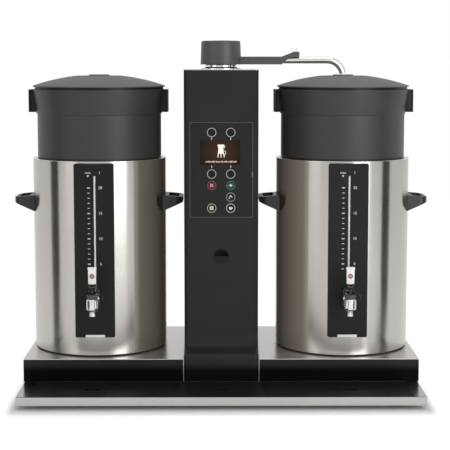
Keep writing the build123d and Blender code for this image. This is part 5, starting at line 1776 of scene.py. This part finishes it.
@dataclass
class FilterBasket:
    """A filter basket: spigot, drum on its drawn-in foot, skirt with a flat edge, and two grips."""

    side: Side
    wall: float = 3.0 * MM
    foot: float = 169.5 * MM
    drum: float = 174.5 * MM
    drum_up: float = 12.0 * MM
    skirt_up: float = 132.0 * MM
    edge_width: float = 8.0 * MM
    spigot: float = 150.9 * MM
    outlet: float = 12.0 * MM
    grip_half: float = 40.0 * MM
    grip_height: float = 64.0 * MM
    web_inset: float = 5.0 * MM
    seat_drop: float = 7.2 * MM
    sink: float = 15.0 * MM

    def build(self) -> None:
        """Builds the basket and its grips."""
        word = self.side.word
        node = f"filter_basket_{word}"
        body = "basket_left" if self.side is Side.LEFT else "container_right"
        low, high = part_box(node)
        axis = axis_of(low, high)
        skirt = (high[1] - low[1]) / 2
        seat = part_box(f"shell_{word}")[1][2] - self.seat_drop
        basket = Shape().turn(self.profile(low[2], seat, high[2], skirt), axis, 160)
        webs = Shape()
        for side in (-1, 1):
            self.add_grip(basket, webs, side, axis, (high[0] - low[0]) / 2, high[2], skirt)
        basket.piece(f"basket_moulded_{word}", body, BASKET_GREY, "grey_moulded", (node,))
        # The webs are the basket's grey plastic painted near black: painted shade in the grips' pockets.
        webs.piece(f"basket_grip_webs_{word}", body, BLACK_AND_PAINTED_SHADE, "grey_moulded")

    def profile(self, outlet_z: float, seat: float, top: float, skirt: float) -> list[Flat]:
        """The basket's outline.

        Args:
            outlet_z: its outlet's end.
            seat: where it rests on the vessel.
            top: its upper edge.
            skirt: its upper edge's radius.

        Returns:
            (radius, z) points.
        """
        wall, floor = self.wall, seat - self.sink
        drum_low, foot_z = seat + self.drum_up - 0.3 * MM, seat + self.skirt_up - 0.3 * MM
        edge_in = skirt - self.edge_width
        return rounded([(self.outlet, outlet_z, 0.5 * MM), (self.outlet + wall, outlet_z, 0.5 * MM),
                        (self.outlet + wall, outlet_z + 12 * MM, 2 * MM),
                        (self.spigot, floor - wall, 4 * MM), (self.spigot, seat), (self.foot, seat),
                        (self.foot, drum_low), (self.drum, drum_low, 0.8 * MM),
                        (self.drum, foot_z - 0.6 * MM, 0.5 * MM),
                        (self.drum + 2.2 * MM, foot_z, 1.2 * MM), (skirt - 0.4 * MM, top - 3.4 * MM, MM),
                        (skirt, top - 3.0 * MM, 0.4 * MM), (skirt, top, 0.8 * MM),
                        (edge_in, top, 0.8 * MM), (edge_in, top - wall, 0.8 * MM),
                        (skirt - wall - 0.5 * MM, top - wall, 2 * MM),
                        (self.drum + 2 * MM - wall, foot_z, MM), (self.drum - wall, foot_z - wall, MM),
                        (self.drum - wall, drum_low + wall, 2 * MM), (self.foot - wall, drum_low, MM),
                        (self.foot - wall, seat + wall, 3 * MM),
                        (self.spigot - wall, seat + wall, 2 * MM), (self.spigot - wall, floor, 4 * MM),
                        (self.outlet, outlet_z + 15 * MM, 2 * MM)], 4)

    def add_grip(self, basket: Shape, webs: Shape, side: int, axis: Flat, reach: float, top: float,
                 skirt: float) -> None:
        """Adds a finger grip to the skirt: an outer plate and a roof, on two webs that stand in, which are
        painted near black as painted shade in the grip's pocket.

        Args:
            basket: the basket, which takes the plate and the roof.
            webs: the shape that takes the webs.
            side: -1 or 1 along X.
            axis: the basket's axis.
            reach: the plate's outer face, from the axis.
            top: the skirt's edge.
            skirt: the skirt's radius.
        """
        x, y = axis
        low = top - self.grip_height
        outer = x + side * reach
        face = sorted((outer - side * self.wall, outer))
        basket.block((face[0], y - self.grip_half, low), (face[1], y + self.grip_half, top - 0.4 * MM),
                     1.2 * MM, 3)
        run = sorted((x + side * (skirt - 6 * MM), outer - side * 0.5 * MM))
        basket.block((run[0], y - self.grip_half + 0.5 * MM, top - 3.4 * MM),
                     (run[1], y + self.grip_half - 0.5 * MM, top - 0.4 * MM), MM, 3)
        web = self.grip_half - self.web_inset
        run = sorted((x + side * (self.drum - 2 * MM), outer - side * 1.5 * MM))
        for end in (-1, 1):
            cheek = sorted((y + end * web, y + end * (web - self.wall)))
            webs.block((run[0], cheek[0], low + 0.2 * MM), (run[1], cheek[1], top - 2.0 * MM), 0.5 * MM, 2)


@dataclass
class Lid:
    """A domed lid: hub on a flat middle, shallow groove, overhanging lip and locating ring."""

    side: Side
    dome: float = 567.0 * MM
    flat: float = 62.0 * MM
    hub: float = 29.0 * MM
    hub_up: float = 3.2 * MM
    pour: float = 14.0 * MM
    groove: float = 78.0 * MM
    groove_width: float = 3.5 * MM
    groove_depth: float = 1.5 * MM
    wall: float = 3.0 * MM
    lip: float = 4.0 * MM
    lip_round: float = 2.5 * MM
    step: float = 5.5 * MM
    ring: float = 177.4 * MM
    ring_height: float = 10.0 * MM

    def build(self) -> None:
        """Builds the lid, and a near-black band of painted shadow in the recess under its lip."""
        node = f"lid_{self.side.word}"
        place = RoundNode.of(node)
        radius = place.radius
        self.crown = place.high - self.hub_up - math.sqrt(self.dome ** 2 - self.flat ** 2)
        profile = rounded(self.profile(place.low, place.high, radius), 4)
        lid = Shape().turn(profile, place.axis, 192)
        lid.piece(f"lid_moulded_{self.side.word}", node, LID_GREY, "grey_moulded", (node,))
        # Painted shadow: a near-black band on the recessed wall under the lip, where the lid only casts
        # shade.
        step = radius - self.step + 0.2 * MM
        seat, lip_z = place.low + self.ring_height, self.height(radius - self.lip_round) - self.lip
        shadow_ring = band(step - 0.6 * MM, step, seat + 0.3 * MM, lip_z - 0.2 * MM)
        Shape().turn(shadow_ring, place.axis, 128).piece(f"lid_gap_{self.side.word}", node, BLACK_AND_PAINTED_SHADE,
                                                 "grey_moulded")

    def height(self, reach: float) -> float:
        """The dome's height at a distance from its middle."""
        return self.crown + math.sqrt(self.dome ** 2 - reach ** 2)

    def arc(self, start: float, end: float, drop: float = 0.0) -> list[tuple]:
        """Points along the dome, or that far below it.

        Args:
            start: the first distance from its middle.
            end: the last one.
            drop: how far below the dome.

        Returns:
            (radius, z) points.
        """
        count = 14
        reaches = [start + (end - start) * index / count for index in range(count + 1)]
        return [(reach, self.height(reach) - drop) for reach in reaches]

    def profile(self, low: float, top: float, radius: float) -> list[tuple]:
        """The lid's outline.

        Args:
            low: the locating ring's lower edge.
            top: the hub's top.
            radius: the lip's radius.

        Returns:
            (radius, z) points, with the radius of each rounded corner.
        """
        flat_z = top - self.hub_up
        seat = low + self.ring_height
        near, far = self.groove - self.groove_width / 2, self.groove + self.groove_width / 2
        groove_z = self.height(far) - self.groove_depth
        edge = radius - self.lip_round
        lip_z = self.height(edge) - self.lip
        step = radius - self.step
        outline = [(self.pour, flat_z - self.wall), (self.pour, top, 1.2 * MM), (self.hub - MM, top, MM),
                   (self.hub, top - 1.2 * MM, 0.5 * MM), (self.hub, flat_z - 0.6 * MM, 0.4 * MM),
                   (self.hub + 2.2 * MM, flat_z - 0.6 * MM, 0.4 * MM),
                   (self.hub + 2.6 * MM, flat_z, 0.3 * MM), (self.flat - 0.5 * MM, flat_z, 0.5 * MM)]
        outline += self.arc(self.flat, near - 0.8 * MM)
        outline += [(near, self.height(near) - 0.1 * MM, 0.4 * MM), (near + 0.3 * MM, groove_z, 0.5 * MM),
                    (far - 0.3 * MM, groove_z, 0.5 * MM), (far, self.height(far) - 0.1 * MM, 0.4 * MM)]
        outline += self.arc(far + 0.8 * MM, edge - 2 * MM)
        outline += [(radius - 0.4 * MM, self.height(edge) - 0.6 * MM, 1.6 * MM),
                    (radius, lip_z + MM, 0.8 * MM), (radius - 0.6 * MM, lip_z, 0.5 * MM), (step, lip_z),
                    (step, seat + 0.1 * MM), (self.ring, seat + 0.1 * MM), (self.ring, low, 0.8 * MM),
                    (self.ring - self.wall, low, 0.8 * MM),
                    (self.ring - self.wall, self.height(self.ring - self.wall) - self.wall)]
        outline += self.arc(self.ring - self.wall - 2 * MM, self.flat, self.wall)
        return outline


# ---------------------------------------------------------------- studio
@dataclass(frozen=True)
class SoftBox:
    """A soft lamp: where it stands, what it points at, its size and its power in watts."""

    name: str
    spot: Spot
    aim: Spot
    size: Flat
    power: float

    def build(self) -> None:
        """Adds the lamp."""
        data = bpy.data.lights.new(self.name, "AREA")
        data.shape = "RECTANGLE"
        data.size, data.size_y = self.size
        data.energy = self.power
        thing = stand(self.name, data)
        thing.location = self.spot
        ahead = Vector(self.aim) - Vector(self.spot)
        thing.rotation_euler = ahead.to_track_quat("-Z", "Y").to_euler()


@dataclass(frozen=True)
class SideCards:
    """One side's cards: the flag's front, the tower card's front, its pale edge and its glow."""

    side: Side
    flag: float
    front: float
    edge: float
    glow: float


@dataclass
class Studio:
    """The plain studio: pale floor, soft lamps, cards that only shiny surfaces show, and the camera."""

    camera_spot: Spot = (-0.00968, -3.52554, 0.89100)
    camera_pitch: float = 6.138
    camera_turn: float = -0.333
    lens: float = 101.31
    rise: float = -0.05
    fill: float = 0.55
    backdrop: float = 1.0
    sheen: float = 0.71
    floor_glow: float = 0.55
    floor_sheen: float = 0.35
    shadow_reach: Flat = (0.032, 0.085)
    flag_near: float = 0.70
    flag_far: float = 1.15
    flag_width: float = 0.245
    flag_height: float = 1.6
    lamps: tuple[SoftBox, ...] = (
        SoftBox("key_box", (1.72, -2.62, 1.1), (0.0, 0.0, 0.40), (1.5, 2.1), 33.0),
        SoftBox("left_box", (-3.0, -2.6, 1.5), (-0.2, 0.0, 0.5), (1.4, 1.8), 7.0),
        SoftBox("top_box", (0.0, -0.2, 3.2), (0.0, 0.0, 0.4), (2.6, 2.0), 14.0),
    )
    cards: tuple[SideCards, ...] = (
        SideCards(Side.LEFT, -0.32, -0.105, 0.035, 0.24),
        SideCards(Side.RIGHT, -0.37, -0.11, 0.03, 0.30),
    )

    def build(self) -> None:
        """Builds the studio."""
        scene = bpy.context.scene
        scene.view_settings.view_transform = "Standard"
        self.build_camera()
        self.build_world()
        self.build_floor()
        for lamp in self.lamps:
            lamp.build()
        self.build_cards()

    def build_cards(self) -> None:
        """Stands a dark flag beside each container, and glowing cards along the tower's two sides."""
        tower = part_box("tower_casing")
        half = max(abs(tower[0][0]), tower[1][0]) + 1.5 * MM
        low, high = tower[0][2] + 0.06, tower[1][2]
        dark = StudioCard("card_dark", (0.05, 0.047, 0.042))
        pale = StudioCard("card_pale", (0.42, 0.40, 0.37))
        for cards in self.cards:
            word, side, front, glow = cards.side.word, cards.side.value, cards.front, cards.glow
            end = cards.flag + self.flag_width
            near, far = sorted((side * self.flag_far, side * (self.flag_far + 0.01)))
            self.card(f"flag_{word}", dark, (near, cards.flag, 0.0), (far, end, self.flag_height))
            near, far = sorted((side * self.flag_near, side * self.flag_far))
            self.card(f"flag_foot_{word}", dark, (near, cards.flag + 0.11, 0.02), (far, end, 0.021))
            near, far = sorted((side * half, side * (half + 0.5 * MM)))
            brown = StudioCard(f"card_brown_{word}", (glow, glow * 0.92, glow * 0.78),
                               fade=(0.0, 5.0, 0.0), start=(0.0, front, 0.0))
            self.card(f"tower_card_{word}", brown, (near, front, low), (far, 0.27, high))
            self.card(f"tower_edge_{word}", pale, (near, front - cards.edge, low), (far, front, high))

    def build_camera(self) -> None:
        """Places the camera in front, a little above the object."""
        camera = stand("front_camera", bpy.data.cameras.new("front_camera"))
        camera.data.lens = self.lens
        camera.data.sensor_width = 36.0
        camera.data.clip_end = 60.0
        camera.location = self.camera_spot
        camera.data.shift_y = self.rise
        camera.rotation_euler = (math.radians(90.0 - self.camera_pitch), 0.0,
                                 math.radians(self.camera_turn))
        bpy.context.scene.camera = camera

    def build_world(self) -> None:
        """Gives an even light, and a white background that metal shows too."""
        world = bpy.data.worlds.new("studio_air")
        bpy.context.scene.world = world
        world.use_nodes = True
        tree = Tree(world.node_tree)
        strength = self.by_ray(tree, self.fill, self.backdrop, self.sheen)
        background = world.node_tree.nodes["Background"]
        background.inputs["Color"].default_value = (1.0, 1.0, 1.0, 1.0)
        tree.feed(background.inputs["Strength"], strength)

    @staticmethod
    def by_ray(tree: Tree, plain: float, seen: float, sheen: float) -> bpy.types.NodeSocket:
        """A number that depends on what looks at a surface.

        Args:
            tree: the material's nodes.
            plain: its value for scattered light.
            seen: its value for the camera, straight on or through glass.
            sheen: its value for shiny surfaces.

        Returns:
            The number.
        """
        path = tree.add("LightPath")
        straight = tree.math("MAXIMUM", path.outputs["Is Camera Ray"], path.outputs["Is Transmission Ray"])
        shiny = tree.math("MULTIPLY", path.outputs["Is Glossy Ray"], sheen - plain)
        more = tree.math("MULTIPLY", straight, seen - plain)
        return tree.math("ADD", tree.math("ADD", more, shiny), plain)

    def beside_base(self, tree: Tree) -> bpy.types.NodeSocket:
        """A mask for the floor's glow: 0 at the foot of the base, rising softly to 1 a little way off,
        which lays a painted shadow halo round the base.

        Args:
            tree: the floor's tree.

        Returns:
            The mask's socket.
        """
        corners = [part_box(name) for name in ("base_pan", "drip_tray", "deck_left", "deck_right")]
        low = [min(corner[0][axis] for corner in corners) for axis in (0, 1)]
        high = [max(corner[1][axis] for corner in corners) for axis in (0, 1)]
        place = tree.add("SeparateXYZ", Vector=tree.place())
        squares = []
        for axis in (0, 1):
            middle, half = (low[axis] + high[axis]) / 2, (high[axis] - low[axis]) / 2
            off = tree.math("ABSOLUTE", tree.math("SUBTRACT", place.outputs[axis], middle))
            past = tree.math("MAXIMUM", tree.math("SUBTRACT", off, half), 0.0)
            past = tree.math("MULTIPLY", past, 1.0 / self.shadow_reach[axis])
            squares.append(tree.math("MULTIPLY", past, past))
        near = tree.math("MINIMUM", tree.math("SQRT", tree.math("ADD", *squares)), 1.0)
        slope = tree.math("SUBTRACT", 3.0, tree.math("MULTIPLY", near, 2.0))
        return tree.math("MULTIPLY", tree.math("MULTIPLY", near, near), slope)

    def build_floor(self) -> None:
        """Lays the pale floor, which keeps the object's shadow: the lamps' real shadow, deepened by a
        painted shadow halo where the glow is masked off round the base.
        """
        material = bpy.data.materials.new("floor_white")
        paint = Paint(material)
        mottle = Effect.HANDLING.use(paint, Patches=0.6, Contrast=0.4)
        floor = paint.tint(mottle, (0.80, 0.80, 0.80), (0.82, 0.82, 0.82))
        paint.coat(Base_Color=floor, Roughness=0.9, Specular_IOR_Level=0.0)
        lit = self.by_ray(paint, 0.0, self.floor_glow, self.floor_sheen)
        # Painted shadow: the glow is taken off round the base, so the floor there stays darker.
        strength = paint.math("MULTIPLY", lit, self.beside_base(paint))
        glow = paint.add("Emission", Color=(1.0, 1.0, 1.0, 1.0), Strength=strength)
        both = paint.add("AddShader")
        paint.feed(both.inputs[0], paint.shader.outputs[0])
        paint.feed(both.inputs[1], glow.outputs[0])
        paint.feed(paint.tree.nodes["Material Output"].inputs["Surface"], both.outputs[0])
        self.board("studio_floor", material, (-12.0, -8.0, -0.02), (12.0, 14.0, 0.0))

    @staticmethod
    def board(name: str, material: bpy.types.Material, low: Spot, high: Spot) -> bpy.types.Object:
        """Stands a block in the studio.

        Args:
            name: its name.
            material: its material.
            low: its lowest corner.
            high: its highest corner.

        Returns:
            The block.
        """
        shape = Shape().block(low, high)
        data = bpy.data.meshes.new(name)
        shape.mesh.to_mesh(data)
        shape.mesh.free()
        data.materials.append(material)
        thing = stand(name, data)
        return thing

    @staticmethod
    def card(name: str, finish: Finish, low: Spot, high: Spot) -> None:
        """Stands a card beside the object, which only shiny surfaces show.

        Args:
            name: its name.
            finish: its look.
            low: its lowest corner.
            high: its highest corner.
        """
        thing = Studio.board(name, finish.material(), low, high)
        thing.visible_camera = False
        thing.visible_diffuse = False
        thing.visible_transmission = False
        thing.visible_shadow = False


def main() -> None:
    """Builds the brewer's looks, part by part."""
    logging.basicConfig(level=logging.INFO, format="%(name)s: %(message)s")
    Studio().build()
    Base().build()
    Tower().build()
    ControlPanel().build()
    SwivelOutlet().build()
    for side in Side:
        Container(side).build()
        Tap(side).build()
        FilterBasket(side).build()
        Lid(side).build()


if __name__ == "__main__":
    main()
